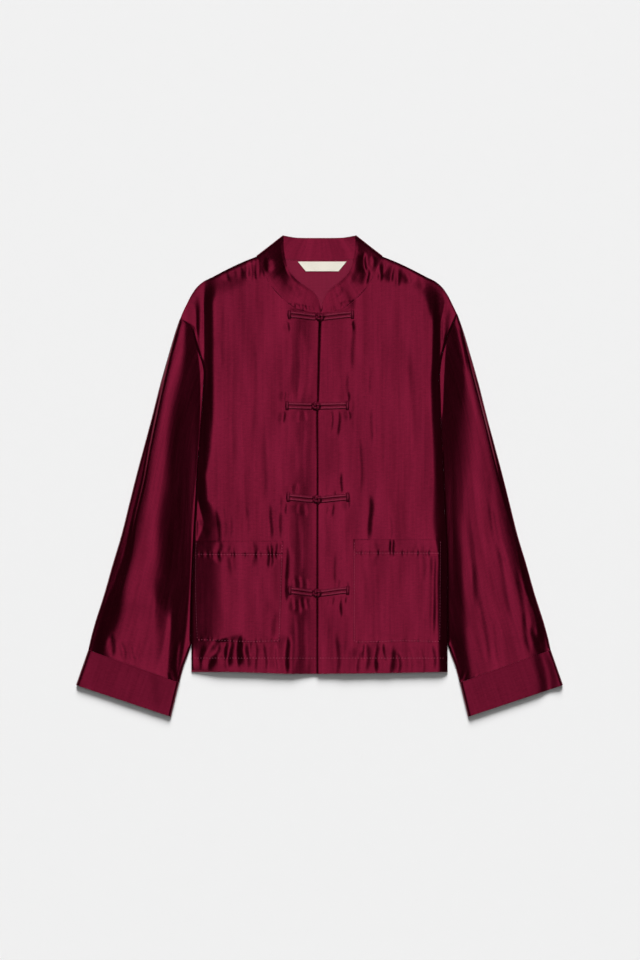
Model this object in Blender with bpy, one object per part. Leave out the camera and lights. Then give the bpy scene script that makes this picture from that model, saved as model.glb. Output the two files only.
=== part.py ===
# Mandarin collar shirt laid flat: fronts, back, collar, sleeves, cuffs, pockets, label and cord frogs.
# X runs to the right as seen from above, Y towards the collar, Z up. Tables are in millimetres, meshes in metres.
import bpy
import bmesh
import math
from collections import namedtuple
from mathutils import Vector
from mathutils.bvhtree import BVHTree

MM = 0.001
Point = namedtuple("Point", "x y")

# Cloth and seams
FRONT_WALL = 1.5
BACK_WALL = 1.2
SLEEVE_WALL = 1.2
CUFF_WALL = 1.5
POCKET_WALL = 1.1
COLLAR_WALL = 1.5
LABEL_WALL = 1.0
LAYER_GAP = 0.4         # between two layers that lie on each other
SEAM_GAP = 0.5          # between two pieces sewn edge to edge

# Body: heights are those of the cloth's upper face
HEM_Y = -294.0
NECK_FRONT_Y = 243.0
RIGHT_EDGE = -2.5       # the right front ends this far past the centre line
UNDERLAP = -18.0        # the left front runs on under it
UNDERLAP_DROP = 2.1
SIDE_HEIGHT = 3.2       # both layers pressed together at a side or shoulder seam
BODY_LOFT = 6.6
HEM_LOFT = 5.6
SIDE_ROUND = 25.0
SHOULDER_ROUND = 20.0

# Pockets
POCKET_INNER = 50.5
POCKET_OUTER = 183.0
POCKET_TOP_Y = -97.5
POCKET_BOTTOM_Y = -250.0
POCKET_MOUTH = 0.8

# Outlines for positive X, from the neck point round to the hem
SHOULDER_LINE = [Point(*p) for p in (
    (94.0, 329.3), (114.8, 321.0), (140.2, 309.0), (161.2, 298.0), (174.8, 291.0),
    (183.5, 283.5), (191.2, 273.0), (199.0, 258.0), (206.2, 243.0))]
SIDE_LINE = [Point(*p) for p in (
    (206.2, 243.0), (197.2, 222.0), (190.0, 203.0), (183.7, 181.5), (180.0, 154.5), (180.8, 121.0),
    (182.6, 70.0), (184.5, 38.0), (186.2, -5.0), (188.5, -60.0), (190.5, -100.0), (191.8, -200.0),
    (192.0, HEM_Y))]

# Front panel rows from hem to armhole top: the inner end at the centre line or on the neckline,
# the outer end on the side line, and how far the row bulges upwards between them
FLAT_ROWS = (HEM_Y, -285.0, -273.0, -261.0, POCKET_BOTTOM_Y, -232.0, -206.0, -176.0, -146.0, -118.0,
             POCKET_TOP_Y, -82.0, -58.0, -32.0, 0.0)
Row = namedtuple("Row", "inner_x inner_y outer_y bulge")
UPPER_ROWS = [Row(*r) for r in (
    (None, 38.0, 38.0, 0.0),
    (None, 66.0, 56.0, 0.0),
    (None, 90.0, 72.0, 1.0),
    (None, 104.5, 88.0, 1.0),
    (None, 122.0, 104.0, 2.0),
    (None, 150.0, 121.0, 3.0),
    (None, 178.0, 138.0, 4.0),
    (None, 205.0, 154.5, 7.0),
    (None, 228.0, 168.0, 9.0),
    (None, NECK_FRONT_Y, 181.5, 11.0),
    (18.0, 246.5, 192.0, 13.0),
    (34.0, 251.0, 203.0, 14.0),
    (53.0, 264.0, 213.0, 15.5),
    (74.0, 287.0, 222.0, 17.0),
    (83.0, 306.0, 232.0, 18.5),
    (94.0, 329.3, 243.0, 0.0))]
BACK_PICKS = (0, 2, 5, 8, 11, 14, 15)   # the upper rows that the back panel and the sleeve's underside share

# Front panel columns, in distance from the centre line at pocket height
RIGHT_COLUMNS = (RIGHT_EDGE, 9.0)
LEFT_COLUMNS = (UNDERLAP, 3.5, 13.0)
SHARED_COLUMNS = (24.0, 37.0, POCKET_INNER, 63.0, 77.0, 91.0, 105.0, 119.0, 132.0, 145.0, 156.0,
                  165.0, 174.0, POCKET_OUTER, 192.0)

# Large folds of the fronts: soft ridges (positive height) and troughs between two points
Fold = namedtuple("Fold", "x1 y1 x2 y2 half_width height")
FRONT_FOLDS = [Fold(*f) for f in (
    (51.0, 262.0, 50.0, 20.0, 7.0, -0.9),       # crease off the right ends of the frogs
    (50.0, 20.0, 50.0, -290.0, 7.0, -1.1),
    (77.0, -30.0, 76.0, -100.0, 9.0, -1.3),
    (108.0, -70.0, 105.0, -128.0, 8.0, -1.2),
    (90.0, -240.0, 88.0, -285.0, 8.0, -1.5),
    (118.0, -255.0, 126.0, -292.0, 9.0, -1.3),
    (63.0, 60.0, 64.0, -22.0, 8.0, -0.9),
    (128.0, 190.0, 136.0, 20.0, 22.0, 0.7),
    (98.0, 215.0, 92.0, 20.0, 16.0, -1.0),
    (-47.0, 258.0, -48.0, -150.0, 7.0, -1.0),   # crease off the left ends of the frogs
    (-51.0, -150.0, -52.0, HEM_Y, 8.0, -2.0),
    (-62.0, -50.0, -63.0, -100.0, 8.0, -1.5),
    (-76.0, -34.0, -76.0, -98.0, 8.0, -1.2),
    (-124.0, -244.0, -116.0, -290.0, 9.0, -1.6),
    (-145.0, -240.0, -140.0, -280.0, 8.0, -1.4),
    (-110.0, 200.0, -118.0, -60.0, 20.0, 0.7),
    (-84.0, 210.0, -88.0, 0.0, 15.0, -1.0))]

# Gathers: every second column sinks between two X values, most at Y and fading within reach
Gather = namedtuple("Gather", "from_x to_x y reach depth")
GATHERS = [Gather(*g) for g in (
    (100.0, 150.0, 308.0, 26.0, 1.0), (-140.0, -100.0, 308.0, 24.0, 1.0),       # shoulders, beside the collar
    (8.0, 64.0, 104.5, 20.0, 0.6), (-64.0, -8.0, 104.5, 20.0, 0.6),             # beside the frogs
    (8.0, 64.0, -32.0, 24.0, 0.6), (-64.0, -8.0, -32.0, 24.0, 0.6),
    (8.0, 64.0, -176.0, 26.0, 0.6), (-64.0, -8.0, -176.0, 26.0, 0.6),
    (60.0, 170.0, -266.0, 16.0, 1.0), (-170.0, -60.0, -266.0, 16.0, 1.1),       # under the pockets
    (60.0, 170.0, POCKET_TOP_Y, 18.0, 0.5), (-170.0, -60.0, POCKET_TOP_Y, 18.0, 0.6))]

# Sleeve edges and the stations between them, armhole to cuff
OUTER_EDGE = [Point(*p) for p in (
    (206.7, 243.0), (215.2, 219.0), (226.5, 181.5), (239.2, 136.5), (250.5, 91.5), (262.5, 46.5),
    (274.5, 1.5), (285.8, -43.5), (297.0, -88.5), (310.5, -133.5), (323.2, -178.5), (337.5, -223.5),
    (343.5, -246.0), (346.6, -260.6))]
INNER_EDGE = [Point(*p) for p in (
    (192.7, -254.0), (197.5, -268.0), (203.5, -284.0), (210.4, -309.6))]
Station = namedtuple("Station", "outer_y inner_y bow crest low_strip")
STATIONS = [Station(*s) for s in (
    (243.0, 38.0, 1.0, 3.2, 0.0),
    (229.0, 30.0, 0.86, 4.6, 4.0),
    (209.0, 20.0, 0.68, 5.6, 8.0),
    (184.0, 8.0, 0.5, 6.0, 10.0),
    (152.0, -8.0, 0.32, 6.2, 12.0),
    (114.0, -28.0, 0.18, 6.2, 13.0),
    (72.0, -52.0, 0.08, 6.2, 14.0),
    (26.0, -82.0, 0.0, 6.2, 14.0),
    (-22.0, -116.0, 0.0, 6.2, 14.0),
    (-70.0, -152.0, 0.0, 6.2, 13.0),
    (-118.0, -188.0, 0.0, 6.2, 12.0),
    (-165.0, -222.0, 0.0, 6.2, 12.0),
    (-208.0, -254.0, 0.0, 6.2, 10.0),
    (-240.0, -284.0, 0.0, 6.0, 8.0),
    (-260.6, -309.6, 0.0, 5.8, 6.0))]
SLEEVE_EDGE = 3.1       # two layers pressed together
SLEEVE_OUTER_ROUND = 14.0
SLEEVE_INNER_ROUND = 38.0
# Sleeve folds: share across from the outer edge and share along from the armhole, at both ends
SleeveFold = namedtuple("SleeveFold", "side across1 along1 across2 along2 half_width height")
SLEEVE_FOLDS = [SleeveFold(*f) for f in (
    (-1, 0.58, 0.45, 0.64, 1.00, 10.0, -1.5),
    (-1, 0.16, 0.60, 0.24, 1.00, 9.0, -1.2),
    (1, 0.16, 0.05, 0.14, 0.45, 8.0, -1.2),
    (1, 0.42, 0.25, 0.54, 0.95, 10.0, -1.2),
    (1, 0.24, 0.62, 0.20, 1.00, 9.0, -1.5))]
CUFF_GATHER_DEPTH = 0.9
CUFF_GATHER_REACH = 0.12

# Cuffs: corners at the sleeve and at the hand, outer side first
CUFF_TOP = (Point(346.9, -261.1), Point(210.6, -310.1))
CUFF_END = (Point(365.2, -313.5), Point(222.8, -361.0))
CUFF_CREST = 6.4
CUFF_EDGE = 3.7
CUFF_STEPS = 12
CUFF_OUTER_ROUND = 22.0
CUFF_INNER_ROUND = 30.0

# Collar: free edge opposite each neckline point and each midpoint, from the centre front to the side
COLLAR_FREE_EDGE = [Point(*p) for p in (
    (1.4, 247.5), (5.0, 264.0), (11.5, 275.5), (17.5, 281.0), (24.0, 286.0), (31.0, 291.3), (37.0, 297.0),
    (43.0, 304.0), (47.5, 312.5), (50.5, 322.0), (52.8, 333.0), (54.0, 345.5))]
COLLAR_FREE_HEIGHT = 5.6
COLLAR_SWELL = 0.7
COLLAR_MEETS = 1.2      # the ends meet this far to the right of the centre line
COLLAR_BACK_HEIGHT = 0.9
# The side fold and the back half: foot and free edge, with their heights at mid wall
FoldSection = namedtuple("FoldSection", "foot_x foot_y foot_z top_x top_y top_z")
COLLAR_FOLD = [FoldSection(*s) for s in (
    (90.9, 326.6, 3.5, 54.0, 357.0, 4.9),
    (91.9, 330.2, 2.2, 54.2, 360.4, 2.9),
    (89.4, 330.4, 0.9, 52.0, 360.2, 0.9),
    (62.0, 325.9, 0.9, 36.0, 357.6, 0.9),
    (30.0, 323.6, 0.9, 18.0, 357.0, 0.9),
    (0.0, 323.2, 0.9, 0.0, 357.0, 0.9))]
COLLAR_STEPS = 4

# Back panel: columns as shares of the half width
BACK_FLAT_ROWS = (HEM_Y, -170.0, -50.0)
BACK_COLUMNS = (0.0, 0.25, 0.5, 0.72, 0.88, 1.0)
NECK_SHARE = 0.5        # the columns up to this share end on the neckline
BACK_NECKLINE = [Point(*p) for p in ((0.0, 322.4), (30.0, 322.8), (62.0, 325.0), (94.0, 329.3))]

# Label, hung from the back neck seam
LABEL_CENTRE_X = 4.0
LABEL_TOP_HALF = 36.5
LABEL_BOTTOM_HALF = 24.5
LABEL_TOP_Y = 321.6
LABEL_HEIGHT = 14.5

# Frogs: a doubled cord on each side of a knotted button
CORD_RADIUS = 2.1
CORD_SIDES = 6
CORD_APART = 2.6        # from the frog's middle line to each cord's own
LOOP_RADIUS = 3.6
KNOT_REACH = 6.2        # the left cords stop this far from the knot's middle
Frog = namedtuple("Frog", "y knot_x left_end right_end sag")
FROGS = (
    Frog(238.0, 1.2, -47.0, 50.5, 4.0),
    Frog(104.5, -4.5, -50.5, 43.0, 1.0),
    Frog(-35.5, -3.0, -49.0, 43.5, 3.5),
    Frog(-176.0, -3.5, -46.5, 43.5, 4.5),
)
# Knot profile: radius and height from the ball's middle
KNOT_PROFILE = ((1.0, -7.4), (1.0, -3.7), (3.9, -3.3), (6.1, -1.6), (6.6, 0.2), (5.6, 2.4), (3.2, 3.8))
KNOT_TOP = 4.3
KNOT_SIDES = 8

SATIN = (0.19, 0.008, 0.032)
LABEL_CREAM = (0.85, 0.83, 0.76)


# Small maths
def lerp(a, b, t):
    return a + (b - a) * t


def rise(t):
    t = min(max(t, 0.0), 1.0)
    return t * t * (3.0 - 2.0 * t)


def line_lengths(line):
    return [math.dist(a[:2], b[:2]) for a, b in zip(line, line[1:])]


def point_on(line, share):
    left = share * sum(line_lengths(line))
    for a, b, length in zip(line, line[1:], line_lengths(line)):
        if left <= length:
            return lerp(a[0], b[0], left / length), lerp(a[1], b[1], left / length)
        left -= length
    return tuple(line[-1][:2])


def x_at(line, y):
    for a, b in zip(line, line[1:]):
        if b.y <= y <= a.y:
            return lerp(a.x, b.x, (y - a.y) / (b.y - a.y))
    return line[0].x if y > line[0].y else line[-1].x


def distance_to(line, x, y):
    best = 1e9
    for a, b in zip(line, line[1:]):
        dx, dy = b.x - a.x, b.y - a.y
        t = min(max(((x - a.x) * dx + (y - a.y) * dy) / (dx * dx + dy * dy), 0.0), 1.0)
        best = min(best, math.hypot(x - a.x - t * dx, y - a.y - t * dy))
    return best


def fold_height(fold, x, y):
    dx, dy = fold.x2 - fold.x1, fold.y2 - fold.y1
    along = ((x - fold.x1) * dx + (y - fold.y1) * dy) / (dx * dx + dy * dy)
    across = math.hypot(x - fold.x1 - along * dx, y - fold.y1 - along * dy)
    ends = rise((along + 0.12) / 0.3) * rise((1.12 - along) / 0.3)
    return fold.height * ends * math.exp(-((across / fold.half_width) ** 2))


# Height of the front cloth
def front_height(x, y):
    out = abs(x)
    from_side = x_at(SIDE_LINE, y) - out
    plain = lerp(HEM_LOFT, BODY_LOFT, rise((y - HEM_Y) / 30.0))
    plain += sum(fold_height(f, x, y) for f in FRONT_FOLDS)
    height = lerp(SIDE_HEIGHT, plain, rise(from_side / SIDE_ROUND))
    if y > 200.0:
        height = lerp(SIDE_HEIGHT, height, rise(distance_to(SHOULDER_LINE, out, y) / SHOULDER_ROUND))
    return height


def gather_depth(x, y, column):
    if column % 2:
        return 0.0
    near = [g for g in GATHERS if g.from_x <= x <= g.to_x]
    return sum(g.depth * (1.0 - rise(abs(y - g.y) / g.reach)) for g in near)


# Mesh builders
def material(name, colour, roughness):
    made = bpy.data.materials.new(name)
    made.use_nodes = True
    shader = made.node_tree.nodes["Principled BSDF"]
    shader.inputs["Base Color"].default_value = (*colour, 1.0)
    shader.inputs["Roughness"].default_value = roughness
    shader.inputs["Metallic"].default_value = 0.0
    return made


def add_object(name, bm, finish):
    bmesh.ops.recalc_face_normals(bm, faces=bm.faces[:])
    mesh = bpy.data.meshes.new(name)
    bm.to_mesh(mesh)
    bm.free()
    made = bpy.data.objects.new(name, mesh)
    mesh.materials.append(finish)
    bpy.context.scene.collection.objects.link(made)
    mesh.shade_smooth()
    mesh.set_sharp_from_angle(angle=math.radians(40.0))
    return made


def sheet_from(points):
    # A grid primitive whose vertices are moved onto rows of (x, y, z)
    rows, columns = len(points), len(points[0])
    bm = bmesh.new()
    bmesh.ops.create_grid(bm, x_segments=columns - 1, y_segments=rows - 1, size=0.5)
    for vert in bm.verts:
        column = round((vert.co.x + 0.5) * (columns - 1))
        row = round((vert.co.y + 0.5) * (rows - 1))
        vert.co = Vector(points[row][column]) * MM
    bmesh.ops.triangulate(bm, faces=bm.faces[:], quad_method="FIXED")
    return bm


def cloth_wall(name, points, wall, finish):
    # The sheet is the cloth's upper face, and its copy a wall lower is the under one
    bm = sheet_from(points)
    under = bmesh.ops.extrude_face_region(bm, geom=bm.faces[:])
    lowered = [v for v in under["geom"] if isinstance(v, bmesh.types.BMVert)]
    bmesh.ops.translate(bm, verts=lowered, vec=Vector((0.0, 0.0, -wall * MM)))
    return add_object(name, bm, finish)


def ring_band(bm, near, far):
    count = len(near)
    for i in range(count):
        bm.faces.new((near[i], near[(i + 1) % count], far[(i + 1) % count], far[i]))


def tube_wall(name, outer_rings, inner_rings, finish):
    # Two skins lofted through their rings, joined by a rim at each open end
    bm = bmesh.new()
    ends = []
    for rings in (outer_rings, inner_rings):
        made = [[bm.verts.new(Vector(p) * MM) for p in ring] for ring in rings]
        for near, far in zip(made, made[1:]):
            ring_band(bm, near, far)
        ends.append((made[0], made[-1]))
    for outer_end, inner_end in zip(*ends):
        ring_band(bm, outer_end, inner_end)
    return add_object(name, bm, finish)


# Fronts and pockets
def front_grid(side):
    columns = (RIGHT_COLUMNS if side > 0 else LEFT_COLUMNS) + SHARED_COLUMNS
    first = columns[0]
    shares = [(c - first) / (columns[-1] - first) for c in columns]
    rows = [Row(first, y, y, 0.0) for y in FLAT_ROWS]
    rows += [r._replace(inner_x=first) if r.inner_x is None else r for r in UPPER_ROWS]
    grid = []
    for number, row in enumerate(rows):
        outer_x = x_at(SIDE_LINE, row.outer_y)
        line = []
        for column, share in enumerate(shares):
            arch = row.bulge * 4.0 * share * (1.0 - share)
            out = lerp(row.inner_x, outer_x, share) + arch * 0.6
            y = lerp(row.inner_y, row.outer_y, share) + arch * 0.8
            if number == len(rows) - 1:
                out, y = point_on(SHOULDER_LINE, share)
            x = side * out
            z = max(front_height(x, y) - gather_depth(x, y, column), SIDE_HEIGHT)
            if side < 0 and row.inner_y < 250.0:
                z -= UNDERLAP_DROP * (1.0, 1.0, 0.4)[column] if column < 3 else 0.0
            line.append((x, y, z))
        grid.append(line)
    return grid, columns


def pocket_grid(grid, columns):
    # The front's own points under the pocket, moved up, and a little more along its mouth
    first, last = columns.index(POCKET_INNER), columns.index(POCKET_OUTER)
    bottom, top = FLAT_ROWS.index(POCKET_BOTTOM_Y), FLAT_ROWS.index(POCKET_TOP_Y)
    points = []
    for row in grid[bottom:top + 1]:
        loose = POCKET_MOUTH * rise((row[0][1] - POCKET_TOP_Y + 24.0) / 24.0)
        lifts = [LAYER_GAP + POCKET_WALL + loose * (first < c < last) for c in range(first, last + 1)]
        points.append([(x, y, z + lift) for (x, y, z), lift in zip(row[first:last + 1], lifts)])
    return points


# Back and label
def back_grid():
    shares = [-s for s in reversed(BACK_COLUMNS[1:])] + list(BACK_COLUMNS)
    levels = list(BACK_FLAT_ROWS) + [UPPER_ROWS[p].outer_y for p in BACK_PICKS[:-1]]
    grid = [[(s * x_at(SIDE_LINE, y), y, BACK_WALL) for s in shares] for y in levels]
    top = []
    for s in shares:
        if abs(s) <= NECK_SHARE:
            x, y = point_on(BACK_NECKLINE, abs(s) / NECK_SHARE)
        else:
            x, y = point_on(SHOULDER_LINE, (abs(s) - NECK_SHARE) / (1.0 - NECK_SHARE))
        top.append((math.copysign(x, s), y, BACK_WALL))
    grid.append(top)
    return grid


def label_grid():
    grid = []
    for share in (0.0, 1.0):
        half = lerp(LABEL_BOTTOM_HALF, LABEL_TOP_HALF, share)
        y = LABEL_TOP_Y - LABEL_HEIGHT * (1.0 - share)
        z = BACK_WALL + LAYER_GAP + LABEL_WALL
        grid.append([(LABEL_CENTRE_X + half * s, y, z) for s in (-1.0, 0.0, 1.0)])
    return grid


# Collar
def neckline_inset():
    # The front neckline and its midpoints, moved a seam's gap towards the neck
    corners = [Point(0.6, NECK_FRONT_Y + 1.2)]
    corners += [Point(r.inner_x, r.inner_y) for r in UPPER_ROWS if r.inner_x]
    dense = [corners[0]]
    for a, b in zip(corners, corners[1:]):
        dense += [Point((a.x + b.x) / 2.0, (a.y + b.y) / 2.0), b]
    inset = []
    for i, p in enumerate(dense[:-1]):
        before, after = dense[max(i - 1, 0)], dense[i + 1]
        dx, dy = after.x - before.x, after.y - before.y
        length = math.hypot(dx, dy)
        inset.append(Point(p.x - dy / length * SEAM_GAP, p.y + dx / length * SEAM_GAP))
    return inset


def collar_sections():
    # Foot and free edge of each section from the centre front to the centre back
    sections = []
    for foot, top in zip(neckline_inset(), COLLAR_FREE_EDGE):
        sections.append((foot.x, foot.y, None, top.x, top.y, COLLAR_FREE_HEIGHT))
    return sections + [tuple(s) for s in COLLAR_FOLD]


def collar_grid():
    halves = {}
    for side in (-1, 1):
        columns = []
        for foot_x, foot_y, foot_z, top_x, top_y, top_z in collar_sections():
            swell = 0.0
            if foot_z is None:
                foot_z = front_height(side * foot_x, foot_y) - COLLAR_WALL / 2.0
                swell = COLLAR_SWELL
            column = []
            for step in range(COLLAR_STEPS + 1):
                t = step / COLLAR_STEPS
                z = lerp(foot_z, top_z, t) + swell * math.sin(math.pi * t)
                out = lerp(foot_x, top_x, t)
                x = side * out + COLLAR_MEETS * (1.0 - rise(out / 30.0)) * (foot_y < NECK_FRONT_Y + 30.0)
                column.append((x, lerp(foot_y, top_y, t), z))
            columns.append(column)
        halves[side] = columns
    columns = halves[-1] + halves[1][-2::-1]
    return [[column[i] for column in columns] for i in range(COLLAR_STEPS + 1)]


def build_collar(finish):
    made = add_object("collar", sheet_from(collar_grid()), finish)
    solidify = made.modifiers.new("wall", "SOLIDIFY")
    solidify.thickness = COLLAR_WALL * MM
    solidify.offset = 0.0
    return made


# Sleeves and cuffs
def ring_pair(outline, heights, picks, wall):
    # One flattened ring from the outer edge over the top to the inner edge and back along the floor
    last = len(outline) - 1
    length = sum(line_lengths(outline))
    inset = (wall + 2.0) / length
    ends = [Vector(point_on(outline, s)) for s in (inset, 1.0 - inset)]
    skin = [(x, y, z) for (x, y), z in zip(outline, heights)]
    lining = [(x, y, z - wall) for x, y, z in skin]
    for i, end in ((0, ends[0]), (last, ends[1])):
        skin[i] = (*outline[i], heights[i] / 2.0)
        lining[i] = (end.x, end.y, heights[i] / 2.0)
    floor = [outline[last - p] for p in picks]
    return skin + [(*p, 0.0) for p in floor], lining + [(*p, wall) for p in floor]


def armhole_line():
    # Outer points of the front's upper rows, from the shoulder down, just clear of the body
    return [Point(x_at(SIDE_LINE, r.outer_y) + SEAM_GAP, r.outer_y) for r in reversed(UPPER_ROWS)]


def sleeve_outline(station, armhole, shares):
    outer = (x_at(OUTER_EDGE, station.outer_y), station.outer_y)
    if station.inner_y > INNER_EDGE[0].y:
        inner = (x_at(SIDE_LINE, station.inner_y) + SEAM_GAP, station.inner_y)
    else:
        inner = (x_at(INNER_EDGE, station.inner_y), station.inner_y)
    line = []
    for seam, share in zip(armhole, shares):
        straight = (lerp(armhole[0].x, armhole[-1].x, share), lerp(armhole[0].y, armhole[-1].y, share))
        line.append((lerp(outer[0], inner[0], share) + station.bow * (seam.x - straight[0]),
                     lerp(outer[1], inner[1], share) + station.bow * (seam.y - straight[1])))
    return line


def sleeve_height(side, station, along, number, share, length):
    across = share * length
    loft = rise(across / SLEEVE_OUTER_ROUND) * rise((length - across - station.low_strip) / SLEEVE_INNER_ROUND)
    z = lerp(SLEEVE_EDGE, station.crest, loft)
    for f in SLEEVE_FOLDS:
        if f.side == side and f.along1 <= along <= f.along2:
            t = (along - f.along1) / (f.along2 - f.along1)
            off = across - lerp(f.across1, f.across2, t) * length
            z += f.height * rise(t / 0.3) * rise((1.25 - t) / 0.3) * loft * math.exp(-((off / f.half_width) ** 2))
    if number % 2 == 0:
        z -= CUFF_GATHER_DEPTH * loft * rise((along - 1.0 + CUFF_GATHER_REACH) / CUFF_GATHER_REACH)
    return max(z, SLEEVE_EDGE)


def build_sleeve(side, name, finish):
    armhole = armhole_line()
    total = sum(line_lengths(armhole))
    shares = [sum(line_lengths(armhole[:i + 1])) / total for i in range(len(armhole))]
    picks = [p for p in BACK_PICKS if 0 < p < len(armhole) - 1]
    skins, linings = [], []
    for number, station in enumerate(STATIONS):
        outline = sleeve_outline(station, armhole, shares)
        length = sum(line_lengths(outline))
        along = number / (len(STATIONS) - 1)
        heights = [sleeve_height(side, station, along, i, s, length) for i, s in enumerate(shares)]
        outline = [(side * x, y) for x, y in outline]
        skin, lining = ring_pair(outline, heights, picks, SLEEVE_WALL)
        skins.append(skin)
        linings.append(lining)
    return tube_wall(name, skins, linings, finish)


def build_cuff(side, name, finish):
    shares = [i / CUFF_STEPS for i in range(CUFF_STEPS + 1)]
    picks = (1, CUFF_STEPS // 2, CUFF_STEPS - 1)
    skins, linings = [], []
    for t in (0.0, 0.5, 1.0):
        outer, inner = (Point(lerp(a.x, b.x, t), lerp(a.y, b.y, t)) for a, b in zip(CUFF_TOP, CUFF_END))
        length = math.dist(outer, inner)
        outline = [(side * lerp(outer.x, inner.x, s), lerp(outer.y, inner.y, s)) for s in shares]
        heights = []
        for s in shares:
            loft = rise(s * length / CUFF_OUTER_ROUND) * rise((1.0 - s) * length / CUFF_INNER_ROUND)
            heights.append(lerp(CUFF_EDGE, CUFF_CREST, loft))
        skin, lining = ring_pair(outline, heights, picks, CUFF_WALL)
        skins.append(skin)
        linings.append(lining)
    return tube_wall(name, skins, linings, finish)


# Frogs
def tree_of(made):
    bm = bmesh.new()
    bm.from_mesh(made.data)
    tree = BVHTree.FromBMesh(bm)
    bm.free()
    return tree


def cloth_top(trees, x, y, reach):
    # The highest cloth within reach of a point
    best = 0.0
    for dx in (-reach, 0.0, reach):
        for dy in (-reach, 0.0, reach):
            start = Vector(((x + dx) * MM, (y + dy) * MM, 0.1))
            for tree in trees:
                hit = tree.ray_cast(start, Vector((0.0, 0.0, -1.0)))[0]
                best = max(best, hit.z / MM if hit else 0.0)
    return best


def frog_path(frog, flat, trees):
    # Lift a flat path of (x, offset) onto the cloth, sagging towards the knot
    path = []
    for x, offset in flat:
        y = frog.y + frog.sag * rise(abs(x - frog.knot_x) / 46.0) + offset
        path.append([x, y, cloth_top(trees, x, y, CORD_RADIUS + 0.8)])
    tops = [p[2] for p in path]
    for i, place in enumerate(path):
        place[2] = max(tops[max(i - 1, 0):i + 2]) + CORD_RADIUS + LAYER_GAP
    return path


def left_cords(frog):
    # From the knot out along one cord, round the tucked end and back along the other
    start, end = frog.knot_x - KNOT_REACH, frog.left_end + CORD_RADIUS
    run = [lerp(start, end, t) for t in (0.0, 0.25, 0.5, 0.75, 0.94)]
    turn = [(end - 0.4, CORD_APART * 0.7), (end - 0.4, -CORD_APART * 0.7)]
    return [(x, CORD_APART) for x in run] + turn + [(x, -CORD_APART) for x in reversed(run)]


def right_cords(frog):
    # In along one cord, round the loop under the knot and out along the other, with splayed ends
    start, end = frog.knot_x + LOOP_RADIUS + 4.0, frog.right_end - 0.6
    run = [lerp(end, start, t) for t in (0.1, 0.4, 0.7, 1.0)]
    loop = []
    for step in range(7):
        angle = math.radians(55.0 + 250.0 * step / 6.0)
        loop.append((frog.knot_x + LOOP_RADIUS * math.cos(angle), LOOP_RADIUS * math.sin(angle)))
    top = [(end, CORD_APART + 1.6)] + [(x, CORD_APART) for x in run]
    return top + loop + [(x, -CORD_APART) for x in reversed(run)] + [(end, -CORD_APART - 1.6)]


def build_cord(name, path, finish):
    # Rings of a round cord stood across the path, joined and capped
    places = [Vector(p) for p in path]
    bm = bmesh.new()
    rings = []
    for i, place in enumerate(places):
        ahead = places[min(i + 1, len(places) - 1)] - places[max(i - 1, 0)]
        across = Vector((-ahead.y, ahead.x, 0.0)).normalized()
        up = ahead.cross(across).normalized()
        ring = []
        for k in range(CORD_SIDES):
            angle = 2.0 * math.pi * (k + 0.5) / CORD_SIDES
            ring.append(bm.verts.new((place + (across * math.cos(angle) + up * math.sin(angle)) * CORD_RADIUS) * MM))
        rings.append(ring)
    for near, far in zip(rings, rings[1:]):
        ring_band(bm, near, far)
    bm.faces.new(rings[0])
    bm.faces.new(rings[-1])
    return add_object(name, bm, finish)


def build_knot(name, frog, middle, finish):
    # The ball of the knotted button on its neck, turned from a profile
    bm = bmesh.new()
    rings = []
    for radius, height in KNOT_PROFILE:
        ring = []
        for k in range(KNOT_SIDES):
            angle = 2.0 * math.pi * k / KNOT_SIDES
            ring.append(bm.verts.new(Vector((frog.knot_x + radius * math.cos(angle),
                                             frog.y + radius * math.sin(angle), middle + height)) * MM))
        rings.append(ring)
    for near, far in zip(rings, rings[1:]):
        ring_band(bm, near, far)
    bm.faces.new(rings[0])
    top = bm.verts.new(Vector((frog.knot_x, frog.y, middle + KNOT_TOP)) * MM)
    for k in range(KNOT_SIDES):
        bm.faces.new((rings[-1][k], rings[-1][(k + 1) % KNOT_SIDES], top))
    return add_object(name, bm, finish)


def build():
    for old in list(bpy.data.objects):
        bpy.data.objects.remove(old)
    satin = material("satin", SATIN, 0.38)
    cord = material("satin_cord", SATIN, 0.45)
    cream = material("label_cream", LABEL_CREAM, 0.8)

    cloth_wall("back", back_grid(), BACK_WALL, satin)
    cloth_wall("label", label_grid(), LABEL_WALL, cream)
    carriers = [build_collar(satin)]
    for side, word in ((-1, "left"), (1, "right")):
        grid, columns = front_grid(side)
        carriers.append(cloth_wall(f"front_{word}", grid, FRONT_WALL, satin))
        cloth_wall(f"pocket_{word}", pocket_grid(grid, columns), POCKET_WALL, satin)
        build_sleeve(side, f"sleeve_{word}", satin)
        build_cuff(side, f"cuff_{word}", satin)
    trees = [tree_of(c) for c in carriers]
    for number, frog in enumerate(FROGS, start=1):
        left = frog_path(frog, left_cords(frog), trees)
        right = frog_path(frog, right_cords(frog), trees)
        build_cord(f"frog_{number}_left", left, cord)
        build_cord(f"frog_{number}_right", right, cord)
        loop_top = max(p[2] for p in left[:2] + left[-2:] + right[4:13]) + CORD_RADIUS
        build_knot(f"frog_{number}_knot", frog, loop_top + 4.1, cord)


build()
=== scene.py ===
# A satin shirt with a stand collar and cord frogs, laid flat: its cloth, folds, stitching, light and camera.
# Sizes are in millimetres, X to the right, Y towards the collar and Z up. Meshes are made in metres.
import bpy
import bmesh
import math
import numpy as np
from mathutils import Matrix, Vector


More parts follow.
